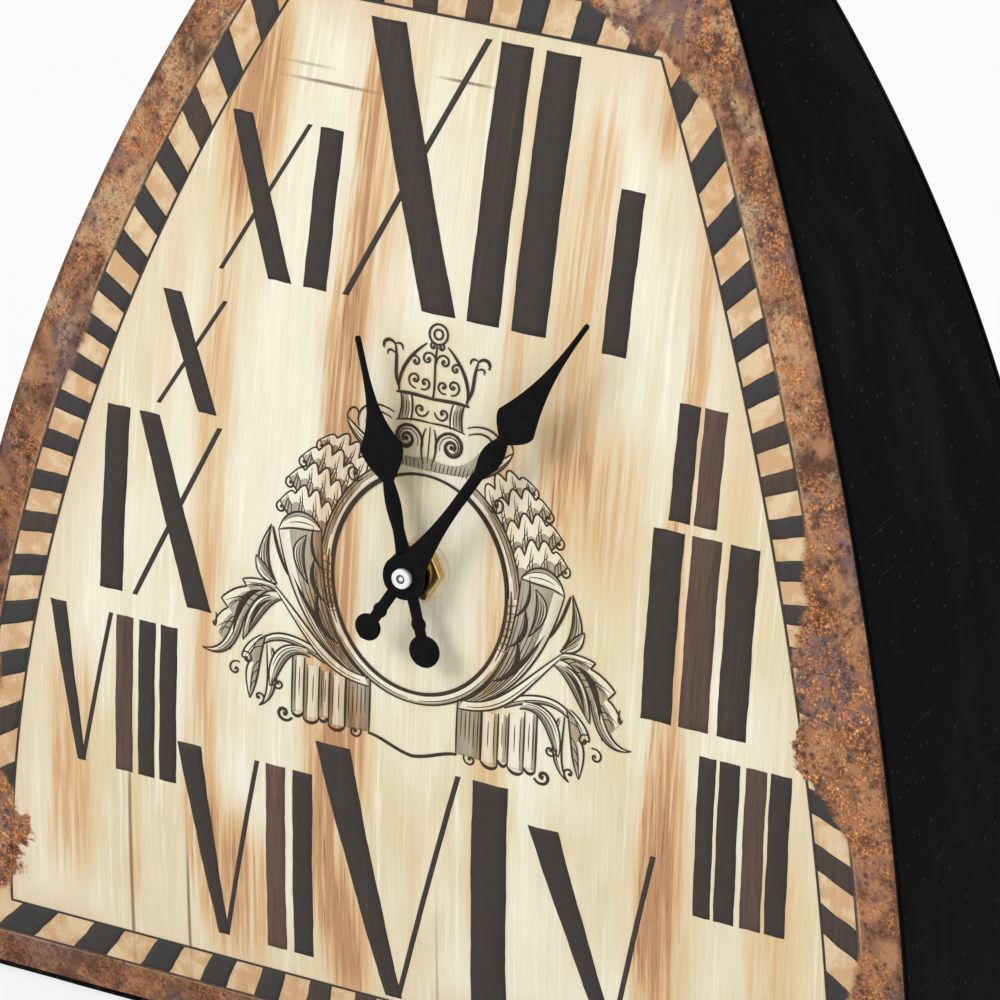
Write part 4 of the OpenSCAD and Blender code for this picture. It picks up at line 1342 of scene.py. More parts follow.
    def side_leaves(self) -> None:
        """The broad leaf beside the oval, its rolled tip, and the small leaf behind it."""
        for a, b, steps, dark, veins in (
                (((11, -26.6), (20, -21.5), (22.5, -9), (23.2, 3.2)),
                 ((13, -26.8), (25, -22), (31, -9), (33.2, 1.4)), 40, 0.75, 7),
                (((23.2, 3.2), (26, 8), (32, 7.0), (33.2, 1.4)), ((27, 2.4), (30, 3.0)), 30, 0.2, 2),
                (((25.6, -9), (27.2, -5), (27.4, -1), (26.6, 1.6)), ((30, -5), (31, -1)), 24, 0.8, 3),
                (((33.6, -9.5), (36, -6), (35.6, -1), (35.0, 2.2)), ((39.5, -7.5), (37.8, -3.4)), 24, 0.6, 3),
                (((33, -10.5), (35, -8), (36, -6.5), (38.2, -5.2)), ((36, -10.6), (38.5, -9.5)), 20, 0.5, 2)):
            self.blade(*edges(a, b, steps), dark, veins)
        self.pen(bezier((30.5, -8), (33.2, -4), (34.2, 0.5), (34.6, 1.8)), self.bold)
        for x, h, bend in ((22.6, -13.0, 1.6), (24.0, -6.0, 1.5), (24.6, 0.6, 1.0)):
            inner = ((x - 3.2, h - 6.5), (x, h - 4), (x + 0.8, h - 1), (x + 0.4, h + 3.4))
            self.keep(*edges(inner, ((x + bend, h - 4.6), (x + bend + 0.9, h - 1)), 18), Ink.LINE)
        vein = ((17.5, -20.5), (21, -19), (25, -14), (29.5, -7.5))
        self.keep(*edges(vein, ((22, -20.4), (26.2, -14.6)), 20), Ink.LINE)

    def rolled_stem(self) -> None:
        """The pale stem that rises from the middle and the hanging leaf that it ends in."""
        self.blade(*edges(((10.5, -28.2), (22, -28), (25, -21), (33, -12.2)),
                          ((11.5, -26.2), (20, -26), (24, -19), (34.6, -9.9)), 40), 0.0, 1)
        self.lobed(*edges(((33, -12.2), (38.5, -12), (41, -22), (43.6, -27.6)),
                          ((33.5, -10.1), (43, -8.2), (47.6, -17), (47.6, -22.8)), 60), 3, 0.42, 0.7)
        self.blade(*edges(((40.6, -20), (41.5, -25.5), (44.5, -30.6), (50.2, -28.4)),
                          ((41.8, -17), (43.8, -24.5), (45.5, -28.6)), 30), 0.5, 2)
        self.blade(*edges(((31.5, -13.6), (35, -15), (37, -20), (40.6, -24.6)),
                          ((34.5, -13.4), (38.5, -14), (40.4, -19)), 30), 0.75, 3)
        self.pen(bezier((47.2, -20), (46.6, -23), (47.5, -23.6), (47.9, -22.0)), self.line)
        for a, b, steps in (
                (((35.5, -12.6), (39, -13), (41.5, -18), (43.0, -24.4)), ((40.8, -12.2), (43.2, -17)), 20),
                (((33.6, -14.2), (36, -15), (37.6, -18), (39.4, -22.6)), ((37.0, -14.4), (39.0, -18)), 18)):
            self.keep(*edges(a, b, steps), Ink.LINE)

    def hanging_leaves(self) -> None:
        """Curled leaves between the stem and the ribbon."""
        self.blade(*edges(((21, -25.6), (27, -22.6), (33, -20.6), (37.6, -26.5)),
                          ((21, -23.6), (28, -20.2), (35.5, -19.6)), 30), 0.35, 1)
        self.lobed(*edges(((35, -22.4), (36.6, -26), (36.2, -33), (38.6, -37.4)),
                          ((37, -22.6), (43, -25.5), (40.5, -31)), 45), 2, 0.5, 0.6)
        self.blade(*edges(((33.5, -25), (31.5, -30), (32, -36.5), (36.4, -38.6)),
                          ((34.8, -24.4), (34.6, -30), (33.6, -36)), 30), 0.4, 1)
        self.blade(*edges(((24.5, -25), (30.5, -23.4), (31, -30), (33.8, -33.6)),
                          ((25.5, -23.2), (33, -22), (35, -28.6)), 30), 0.55, 3)
        self.scroll(42.2, -31.6, 2.0, 120, -1.1, self.line)
        self.scroll(39.4, -28.6, 1.6, 60, 1.1, self.line)
        self.scroll(36.4, -36.6, 1.6, 260, -1.1, self.line)
        self.scroll(31.8, -32.6, 1.7, 30, -1.2, self.line)

    def ribbon(self) -> None:
        """The ribbon: upright rolls at its ends, a dark fold, and the swag in the middle."""
        for x0, x1, top, foot, dark in ((16.0, 19.8, -27.6, -39.0, 0.25), (19.8, 22.2, -27.4, -37.8, 0.5),
                                        (22.2, 25.8, -26.8, -38.8, 0.25), (25.8, 28.6, -25.6, -38.0, 0.35)):
            self.blade(np.linspace((x1, top), (x1, foot), 24),
                       np.linspace((x0, top + 0.3), (x0, foot + 0.3), 24), dark, 2)
            hem = bezier((x0, foot + 0.3), (x0 + 0.8, foot - 1.1), (x1 - 0.8, foot - 1.3), (x1, foot))
            self.pen(hem, self.bold)
        self.blade(np.linspace((15.8, -27.0), (15.8, -38.6), 24),
                   np.linspace((10.2, -26.8), (10.2, -38.4), 24), 0.95, 5, Ink.SHADE)
        self.scroll(30.4, -38.8, 2.1, 200, 1.25, self.bold)
        self.scroll(13.6, -39.0, 1.7, 150, 1.2, self.line)
        self.pen(bezier((0, -41.4), (4, -41.0), (7, -38.8), (10.4, -38.6)), self.bold, (1.0, 0.7))

    def upper_foliage(self) -> None:
        """Acanthus leaves in steps down the oval's shoulder, and a band on their roots."""
        for root_low, root_high, knee, tip, lobes in (
                ((17.0, 14.4), (12.6, 19.0), (17.2, 28.0), (25.0, 22.6), 4),
                ((19.2, 10.8), (15.4, 17.0), (22.0, 25.4), (28.8, 18.4), 4),
                ((20.6, 5.8), (18.2, 13.0), (25.2, 20.6), (31.6, 13.4), 4),
                ((21.2, 0.4), (20.2, 8.0), (27.4, 15.4), (33.4, 7.8), 4)):
            low, high, end = np.array(root_low), np.array(root_high), np.array(tip)
            smooth = (root_low, low * 0.55 + end * 0.45 - (0, 2.2), low * 0.2 + end * 0.8 - (0, 2.4), tip)
            outer = (root_high, high * 0.5 + np.array(knee) * 0.5, knee)
            self.lobed(*edges(smooth, outer, 60), lobes, 0.3, 0.5, curly=True)
            self.scroll(tip[0] - 0.5, tip[1] - 1.5, 1.5, 70, -1.2, self.line)
        shoulder = np.linspace(4, 64, 40)
        self.blade(self.ring(shoulder, 3.0), self.ring(shoulder, 0.5), 0.55, 2)
        self.scroll(16.6, 17.4, 2.3, 200, 1.3, self.line)
        self.blade(*edges(((9.5, 20.8), (14, 22.5), (18, 24.5), (19.2, 28.8)),
                          ((9.0, 22.0), (13, 24.5), (17, 27)), 26), 0.4, 2)
        self.pen(bezier((19.2, 28.8), (18.8, 31.6), (16.4, 31.4), (16.6, 29.4)), self.line)

    def volutes(self) -> None:
        """Two volutes on the oval with hatched roots, and the pendants between them."""
        self.keep(*edges(((0, 21.2), (6, 21.2), (11, 21.5), (13, 24.0)),
                         ((0, 24.0), (3.2, 23.0), (8, 22.0), (11.5, 27.2)), 24), Ink.SHADE)
        self.scroll(5.2, 27.0, 3.8, 200, -1.7, self.bold)
        self.pen(spiral((5.2, 27.0), 2.9, 1.0, 205, -1.0), self.fine)
        self.pen(bezier((8.8, 30.4), (13, 32.6), (16, 30.0), (14.0, 26.6)), self.line)
        self.pen(bezier((8.4, 31.8), (13, 34), (18, 31.5), (16.2, 27.2)), self.line)
        self.pen(bezier((0.9, 22.4), (2.0, 25), (1.8, 28), (0.9, 30.0)), self.line)
        self.pen(bezier((0.0, 22.6), (0.0, 24), (0.0, 28), (0.0, 30.4)), self.fine, (0.6, 0.6))
        for dx in np.arange(1.0, 12.5, 0.9):
            hatch = np.linspace((dx, 21.4), (dx * 1.03 + 0.2, 22.9 + 0.09 * dx), 3)
            self.pen(hatch, self.fine, (1, 0.4), Ink.SOFT)

    def basket(self) -> None:
        """The crest: a basket of small scrolls with a flared rim and a ring on top."""
        self.blade(*edges(((7.4, 30.6), (6.6, 33), (6.8, 35), (7.4, 36.4)),
                          ((4.6, 30.8), (4.2, 33), (4.4, 35), (5.0, 36.4)), 20), 0.7, 3)
        self.pen(bezier((0, 36.2), (3, 36.4), (6, 36.6), (8.4, 36.2)), self.bold, (0.8, 0.5))
        self.pen(bezier((0, 31.2), (2, 31.2), (4, 31.6), (8.0, 30.4)), self.line)
        for x, h, radius, start, turns in (
                (2.6, 33.6, 1.9, 180, 1.2), (4.4, 39.6, 1.9, 260, 1.3), (2.1, 39.2, 1.6, 300, -1.2),
                (1.9, 44.2, 1.9, 200, -1.3), (4.6, 43.2, 1.3, 30, 1.2), (0.9, 47.0, 0.9, 90, -1)):
            self.scroll(x, h, radius, start, turns, self.line)
        self.pen(bezier((7.8, 36.6), (8.4, 40), (6.6, 44), (2.4, 47.4)), self.bold)
        self.pen(bezier((7.6, 37.0), (9.6, 39.5), (8.4, 42.5), (9.6, 45.8)), self.bold)
        self.pen(bezier((9.6, 45.8), (8.6, 46.6), (7.6, 46.0), (7.8, 44.9)), self.line)
        self.pen(bezier((9.6, 45.8), (10.8, 47.2), (12.8, 46.2), (12.0, 44.6)), self.bold)
        self.pen(bezier((9.5, 44.0), (10.6, 44.9), (11.4, 44.4), (11.0, 43.4)), self.line)
        self.pen(spiral((0.0, 49.6), 2.1, 2.1, 90, 1.0), self.line, (1, 1), mirrored=False)
        self.pen(spiral((0.0, 49.6), 1.0, 1.0, 90, 1.0), self.line, (1, 1), mirrored=False)
        self.pen(bezier((0, 36.4), (0.5, 39), (-0.5, 43), (0, 47.2)), self.line, (0.8, 0.8), mirrored=False)

    def draw(self) -> list[Stroke]:
        """Draws the parts of the frame from the lowest layer to the uppermost.

        Returns:
            All shapes, moved to the middle line.
        """
        for part in (self.upper_foliage, self.ribbon, self.hanging_leaves, self.side_leaves, self.rolled_stem,
                     self.volutes, self.basket, self.oval):
            part()
        move = (self.middle, 0.0)
        return [Stroke(one.left + move, one.right + move, one.ink, one.order) for one in self.strokes]


@dataclass
class PrintedFront:
    """The bowed front sheet with its numerals, minute track and scroll frame."""

    shape: BellShape
    bush_r: float = 4.1
    lift: float = 0.05
    film: float = 0.03
    layer: float = 0.0005
    stack: float = 0.004
    minutes: int = 60
    dash_half_angle: float = 1.42
    track_out: float = 9.5
    track_in: float = 17.5
    rule: float = 0.55
    wobble: float = 0.07
    seed: int = 5

    @property
    def low(self) -> float:
        """Height of the sheet's lower edge."""
        return self.shape.sheet + self.shape.seam

    @property
    def high(self) -> float:
        """Height of the sheet's upper edge."""
        return self.shape.height - self.low

    def build(self) -> None:
        """Builds the sheet and the three layers of ink."""
        self.sheet()
        self.numerals()
        self.minute_track()
        self.scrollwork()

    def sheet(self) -> None:
        """The sheet: rings that change evenly from the bush's hole to the outline.

        A point at share s between them is hole + (outline - hole) * s, laid on the bowed front.
        """
        outer = self.shape.outline(self.low, self.high, OUTLINE_STEPS)
        away = outer - (0.0, self.shape.dial_h)
        inner = away / np.linalg.norm(away, axis=1, keepdims=True) * self.bush_r + (0.0, self.shape.dial_h)
        share = np.concatenate([np.linspace(0, 0.9, 40), np.linspace(0.925, 1, 4)])[:, None, None]
        flat = inner + (outer - inner) * share
        grid = self.shape.on_face(flat[..., 0], flat[..., 1])
        made = Patchwork().add(grid, around=True, flip=True).piece(
            "dial_sheet", PrintedSheet("printed_sheet", self.shape), "dial_print",
            replaces=("front_panel",))
        thicken(made, self.shape.sheet, 0.28, BLACK)

    def ink(self, name: str, patches: Patchwork, tone: InkTone) -> None:
        """Makes gathered strokes one thin layer of one of the inks."""
        finish = PrintInk(name + "_ink", self.shape, tone)
        thicken(patches.piece(name, finish, "dial_print", weld=0.0002), self.film)

    def lay(self, patches: Patchwork, x: Array, h: Array, tone: float, lift: float = 0.0,
            along: bool = False) -> None:
        """Adds a grid of ink just above the sheet, turned so that its faces look outwards.

        A quad turns anticlockwise when the cross product of its sides across and along the rows is positive.

        Args:
            patches: Where the grid is gathered.
            x: Distances to the right.
            h: Heights above the base.
            tone: How worn the ink is, or which wash it is.
            lift: Extra height above the sheet.
            along: The last row joins the first.
        """
        across = (x[:-1, 1:] - x[:-1, :-1]) * (h[1:, :-1] - h[:-1, :-1])
        onward = (h[:-1, 1:] - h[:-1, :-1]) * (x[1:, :-1] - x[:-1, :-1])
        flip = bool((across - onward).sum() < 0)
        patches.add(self.shape.on_face(x, h, self.lift + lift), along=along, flip=flip, tone=tone)

    def numerals(self) -> None:
        """The twelve numerals, each stroke with slightly unsteady edges."""
        rng = np.random.default_rng(self.seed)
        patches = Patchwork()
        for numeral in NUMERALS:
            steps = max(10, int((numeral.top - numeral.foot) / 1.6))
            t = np.linspace(0, 1, steps)[:, None]
            across = np.linspace(0, 1, 4)[None, :]
            for number, bar in enumerate(sorted(numeral.bars, key=lambda one: one.top[1] - one.top[0])):
                left = bar.top[0] + (bar.foot[0] - bar.top[0]) * t
                right = bar.top[1] + (bar.foot[1] - bar.top[1]) * t
                shiver = self.wobble * min(1.0, (bar.top[1] - bar.top[0]) / 5)
                left = left + shiver * self.unsteady(rng, t)
                right = right + shiver * self.unsteady(rng, t)
                x = left + (right - left) * across
                h = self.shape.dial_h + numeral.top + (numeral.foot - numeral.top) * t + 0.0 * across
                h = h + shiver * 0.8 * self.unsteady(rng, across)
                self.lay(patches, x, h, bar.wear + float(rng.uniform(-0.12, 0.2)), self.stack * number)
        self.ink("numerals", patches, InkTone.NUMERAL)

    @staticmethod
    def unsteady(rng: np.random.Generator, t: Array) -> Array:
        """A random wave over t: four sines of rising pace and falling height.

        Args:
            rng: Where the phases come from.
            t: Shares of the edge's length.

        Returns:
            Heights of the wave.
        """
        pace = np.array([2.0, 5.0, 11.0, 19.0])
        phase = rng.uniform(0, 2 * np.pi, 4)
        return sum(np.sin(2 * np.pi * p * t + q) / (1 + k) for k, (p, q) in enumerate(zip(pace, phase)))

    def reach(self, angle: Array, inset: Array | float) -> Array:
        """Distance from the dial's centre at which a ray meets an inset line, by halving.

        Args:
            angle: Direction of the ray.
            inset: Distance of the line from the edge.

        Returns:
            The distances.
        """
        angle, inset = np.broadcast_arrays(angle, inset)
        near, far = np.zeros(angle.shape), np.full(angle.shape, 175.0)
        for _ in range(HALVINGS):
            mid = (near + far) / 2
            x, h = mid * np.cos(angle), self.shape.dial_h + mid * np.sin(angle)
            outside = self.shape.inset_of(x, np.clip(h, 0, self.shape.height)) < inset
            outside |= (h < 0) | (h > self.shape.height)
            far, near = np.where(outside, mid, far), np.where(outside, near, mid)
        return near

    def minute_track(self) -> None:
        """Sixty wedges that point to the dial's centre between an outer and an inner line."""
        rng = np.random.default_rng(self.seed + 1)
        patches = Patchwork()
        across = np.linspace(-1, 1, 5)[:, None] * math.radians(self.dash_half_angle)
        inset = np.linspace(self.track_out + 0.1, self.track_in - 0.1, 6)[None, :]
        for minute in range(self.minutes):
            angle = math.radians(minute * 360 / self.minutes) + across + rng.normal(0, 0.0007, (1, 6))
            self.lay(patches, *self.ray_points(angle, inset), float(rng.uniform(0, 0.9) ** 2))
        turn = np.linspace(0, 2 * np.pi, 481)[:-1, None]
        for line in (self.track_out, self.track_in):
            rule = np.array([[line - self.rule / 2, line + self.rule / 2]])
            self.lay(patches, *self.ray_points(turn + 0 * rule, rule + 0 * turn), 0.35, 0.01, True)
        self.ink("minute_track", patches, InkTone.TRACK)

    def ray_points(self, angle: Array, inset: Array) -> tuple[Array, Array]:
        """Where rays from the dial's centre meet inset lines, as x and h."""
        far = self.reach(angle, inset)
        return far * np.cos(angle), self.shape.dial_h + far * np.sin(angle)

    def scrollwork(self) -> None:
        """The scroll frame's shapes as grids between their edges, each a little above the one before."""
        patches = Patchwork()
        for shape in ScrollFrame().draw():
            apart = shape.right - shape.left
            share = np.linspace(0, 1, 3 + int(np.abs(apart[:, 1]).max() / 1.2))[None, :, None]
            flat = shape.left[:, None] + apart[:, None] * share
            x, h = flat[..., 0], self.shape.dial_h + flat[..., 1]
            self.lay(patches, x, h, shape.ink.value, self.layer * shape.order)
        self.ink("scroll_frame", patches, InkTone.SCROLL)


# The sheet body


@dataclass
class SheetBody:
    """The folded side walls, the back, the trays, the screws and the felt."""

    shape: BellShape
    flange: float = 12.0
    fold_r: float = 1.2
    access: float = 92.0
    access_corner: float = 14.0
    felt_power: float = 14.0
    felt_steps: int = 240
    fuzz: float = 0.03
    seed: int = 8

    def build(self) -> None:
        """Builds the body's pieces and dresses its CAD nodes."""
        self.wall("side_wall_right", 1, "side_right", BLACK)
        self.wall("side_wall_left", -1, "side_left", BLACK)
        self.back(BlackPaint("dusty_back_paint", (17, 17, 18), 0.9))
        dress("back_screws", PlatedSteel("zinc_plate"), 0.18)
        self.felt()
        for node in ("base_tray", "top_tray"):
            dress(node, BLACK, 0.25)

    def wall(self, name: str, side: int, node: str, finish: Finish) -> None:
        """A side wall: a C profile with rounded folds, carried up the body.

        At height h the profile's web lies at the half width and its flanges just inside the faces, so a
        point is (half_width - c, a * half_depth + b), where a, b and c describe the profile once.

        Args:
            name: The piece's name.
            side: 1 for the right wall, -1 for the left.
            node: The CAD node it stands for.
            finish: Its paint.
        """
        r = self.fold_r
        bend = np.radians(np.linspace(0, 90, 7))[1:-1]
        web = np.linspace(-1, 1, 13)
        flat = np.linspace(0, 1, 5)
        level = 0 * flat
        a = np.concatenate([level - 1, level - 1, web, level + 1, level + 1])
        b = np.concatenate([level, r * (1 - np.cos(bend)), -r * web, -r * (1 - np.cos(bend[::-1])), level])
        c = np.concatenate([level, r * (1 - np.sin(bend)), 0 * web, r * (1 - np.sin(bend[::-1])), level])
        along_flange = np.concatenate([1 - flat, level, 0 * web, level, flat])
        gap = self.shape.sheet + self.shape.seam
        h = np.linspace(gap, self.shape.height - self.shape.sheet - self.shape.seam, 90)[:, None]
        half_w = self.shape.half_width(h)
        inner = self.shape.half_width(h, self.flange)
        x = half_w - c - r * (along_flange > 0) + (inner - half_w + r) * along_flange
        y = a * self.shape.half_depth(h, gap) + b
        grid = np.stack([side * x, y, self.shape.base + h + 0 * x], axis=-1)
        made = Patchwork().add(grid, flip=side < 0).piece(name, finish, "black_paint", replaces=(node,))
        thicken(made, self.shape.sheet, 0.2)

    def back(self, finish: Finish) -> None:
        """The bowed back: rings from the round-cornered opening to the outline.

        Args:
            finish: Its paint.
        """
        low = self.shape.sheet + self.shape.seam
        outer = self.shape.outline(low, self.shape.height - low, OUTLINE_STEPS)
        away = outer - (0.0, self.shape.dial_h)
        hole = self.opening(np.arctan2(away[:, 1], away[:, 0]))
        share = np.linspace(0, 1, 26)[:, None, None]
        flat = hole + (outer - hole) * share
        grid = self.shape.on_face(flat[..., 0], flat[..., 1], back=True)
        made = Patchwork().add(grid, around=True).piece("back_sheet", finish, "black_paint",
                                                        replaces=("back_panel",))
        thicken(made, self.shape.sheet, 0.25)

    def opening(self, angle: Array) -> Array:
        """Where rays from the dial's centre meet the rounded square opening, by halving.

        Args:
            angle: Directions of the rays.

        Returns:
            Points (x, h).
        """
        half, r = self.access / 2, self.access_corner
        near, far = np.zeros(angle.shape), np.full(angle.shape, half * 1.5)
        for _ in range(HALVINGS):
            mid = (near + far) / 2
            over = np.maximum(np.abs(np.stack([mid * np.cos(angle), mid * np.sin(angle)])) - (half - r), 0)
            outside = np.hypot(over[0], over[1]) > r
            far, near = np.where(outside, mid, far), np.where(outside, near, mid)
        return np.stack([near * np.cos(angle), self.shape.dial_h + near * np.sin(angle)], axis=1)

    def felt(self) -> None:
        """The felt under the base: a sheet with soft edges and a matted, slightly uneven pair of faces.

        Its outline is a rounded rectangle, |x/a|^n + |y/b|^n = 1, and its edge is half round.
        """
        low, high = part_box("base_felt")
        half = np.array([high.x, high.y]) / MM
        thick = (high.z - low.z) / MM
        turn = np.linspace(0, 2 * np.pi, self.felt_steps, endpoint=False)
        round_way = np.stack([np.cos(turn), np.sin(turn)], axis=1)
        rim = np.sign(round_way) * np.abs(round_way) ** (2 / self.felt_power)
        inner, outer = np.linspace(0, 0.97, 16), np.cos(np.linspace(np.pi / 2, 0, 5))[::-1]
        share = np.concatenate([inner, 1 - 0.03 * outer**2])
        edge = np.concatenate([0 * inner, 1 - np.sqrt(np.clip(1 - np.linspace(0, 1, 5) ** 2, 0, 1))])
        fuzz = np.random.default_rng(self.seed).normal(0, self.fuzz, (len(share), self.felt_steps))
        top = np.stack([rim[:, 0] * half[0] * share[:, None], rim[:, 1] * half[1] * share[:, None],
                        thick - thick / 2 * edge[:, None] - np.abs(fuzz)], axis=-1)
        foot = top * (1, 1, -1) + (0, 0, thick)
        grid = np.concatenate([top, foot[::-1]])
        made = Patchwork().add(grid, around=True).piece("felt_pad", Felt("black_felt"), "felt",
                                                        outward=True, replaces=("base_felt",))


def dress(node: str, finish: Finish, radius: float) -> None:
    """Gives a CAD node its finish and rounds its edges.

    Args:
        node: The node's name.
        finish: Its finish.
        radius: Radius of its edges in millimetres, or 0 to leave them sharp.
    """
    piece = frame["nodes"][node]
    if piece.material_slots:
        for slot in piece.material_slots:
            slot.material = finish.material()
    else:
        piece.data.materials.append(finish.material())
    if radius:
        soften(piece, radius, weld=True)
    log.info("%s: dressed in %s", node, finish.name)


# The handle


@dataclass
class CarryingHandle:
    """The bent bar with its threaded studs, the two turned collars, and the washers and nuts inside."""

    shape: BellShape
    bend_r: float = 17.0
    stud_r: float = 3.0
    stud_len: float = 9.5
    pitch: float = 1.0
    hammered: float = 0.22
    hammer_marks: int = 90
    around: int = 48
    seed: int = 3

    def build(self) -> None:
        """Builds the handle."""
        low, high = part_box("handle")
        collar_low, collar_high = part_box("handle_collars")
        self.bar_r = (high.y - low.y) / MM / 2
        self.leg = (high.x - low.x) / MM / 2 - self.bar_r
        self.foot = self.shape.base + self.shape.height
        self.rise = high.z / MM - self.foot - self.bar_r
        self.collar_r = (collar_high.y - collar_low.y) / MM / 2
        self.collar_h = (collar_high.z - collar_low.z) / MM
        iron = ForgedIron("forged_black_iron")
        self.bar(iron)
        self.collars(iron)
        plate = PlatedSteel("zinc_plate")
        dress("handle_washers", plate, 0.15)
        dress("handle_nuts", plate, 0.3)

    def path(self) -> tuple[Array, Array]:
        """The bar's middle line in the xz plane and its normals, from foot to foot.

        Returns:
            Points and normals, each (x, z).
        """
        bend, top = self.bend_r, self.rise - self.bend_r
        leg = np.stack([np.full(22, -self.leg), np.linspace(0, top, 22)], 1)
        corner = arc((-self.leg + bend, top), bend, 180, 90, 18)[1:]
        grip = np.stack([np.linspace(-self.leg + bend, self.leg - bend, 30), np.full(30, self.rise)], 1)[1:-1]
        half = np.concatenate([leg, corner])
        line = np.concatenate([half, grip, half[::-1] * (-1, 1)])
        return line, normals(line)

    def bar(self, finish: Finish) -> None:
        """A round bar with hammer marks: its radius falls a little in a random pattern of soft flats.

        Args:
            finish: The iron.
        """
        rng = np.random.default_rng(self.seed)
        line, normal = self.path()
        around = np.linspace(0, 2 * np.pi, self.around, endpoint=False)
        along = np.cumsum(np.concatenate([[0], np.linalg.norm(np.diff(line, axis=0), axis=1)]))[:, None]
        marks = np.zeros((len(line), self.around))
        for _ in range(self.hammer_marks):
            at, turn = rng.uniform(0, along[-1, 0]), rng.uniform(0, 2 * np.pi)
            gap = np.angle(np.exp(1j * (around - turn))) * self.bar_r
            mark = rng.uniform(0.3, 1) * np.exp(-(((along - at) / 4.0) ** 2 + (gap / 3.2) ** 2))
            marks = np.maximum(marks, mark)
        radius = self.bar_r - self.hammered * marks
        x = line[:, :1] + radius * np.cos(around) * normal[:, :1]
        z = self.foot + line[:, 1:] + radius * np.cos(around) * normal[:, 1:]
        y = radius * np.sin(around)
        grid = np.stack([x, y, z], axis=-1)
        first, last = (np.broadcast_to((end[0], 0.0, self.foot + end[1]), (1, self.around, 3))
                       for end in line[[0, -1]])
        patches = Patchwork().add(np.concatenate([first, grid, last]), around=True)
        for side in (-1, 1):
            patches.add(self.stud() + (side * self.leg, 0, self.foot), around=True)
        patches.piece("forged_handle", finish, "blackened_iron", outward=True, replaces=("handle",))

    def stud(self) -> Array:
        """A threaded stud that hangs from z = 0: its radius follows a triangle wave of z and of the angle.

        Returns:
            A grid whose columns close round the stud.
        """
        z = np.linspace(-self.stud_len, 0, 116)
        angle = np.arange(36) * 2 * np.pi / 36
        phase = (z[:, None] / self.pitch - angle / (2 * np.pi)) % 1.0
        radius = self.stud_r - 0.3 * np.abs(2 * phase - 1)
        radius[0], radius[-1] = 0.0, 0.0
        radius[1] = self.stud_r - 0.6
        z = z.copy()
        z[1] = z[0]
        return np.stack([radius * np.cos(angle), radius * np.sin(angle), z[:, None] + 0 * radius], axis=-1)

    def collars(self, finish: Finish) -> None:
        """Turned collars: a rounded foot ring, a cove and a bead, as arcs of one profile.

        Args:
            finish: The iron.
        """
        bore, rim, tall = self.bar_r + 0.1, self.collar_r, self.collar_h
        bead = tall * 0.2
        profile = np.concatenate([
            [(bore, 0.05)], arc((rim - 0.4, 0.4), 0.4, -90, 0, 5),
            arc((rim - 0.8, tall * 0.26), 0.8, 0, 90, 7),
            bezier((rim - 1.3, tall * 0.26 + 0.8), (bore + 2.0, tall * 0.42), (bore + 1.0, tall * 0.5),
                   (bore + 0.9, tall - 2 * bead), steps=9),
            arc((bore + 0.7, tall - bead), bead, -70, 90, 10), [(bore, tall)], [(bore, 0.05)]])
        ring = lathe(profile, 72)
        patches = Patchwork()
        for side in (-1, 1):
            patches.add(ring + (side * self.leg, 0, self.foot), around=True)
        patches.piece("turned_collars", finish, "blackened_iron", outward=True,
                      replaces=("handle_collars",))


# The hands


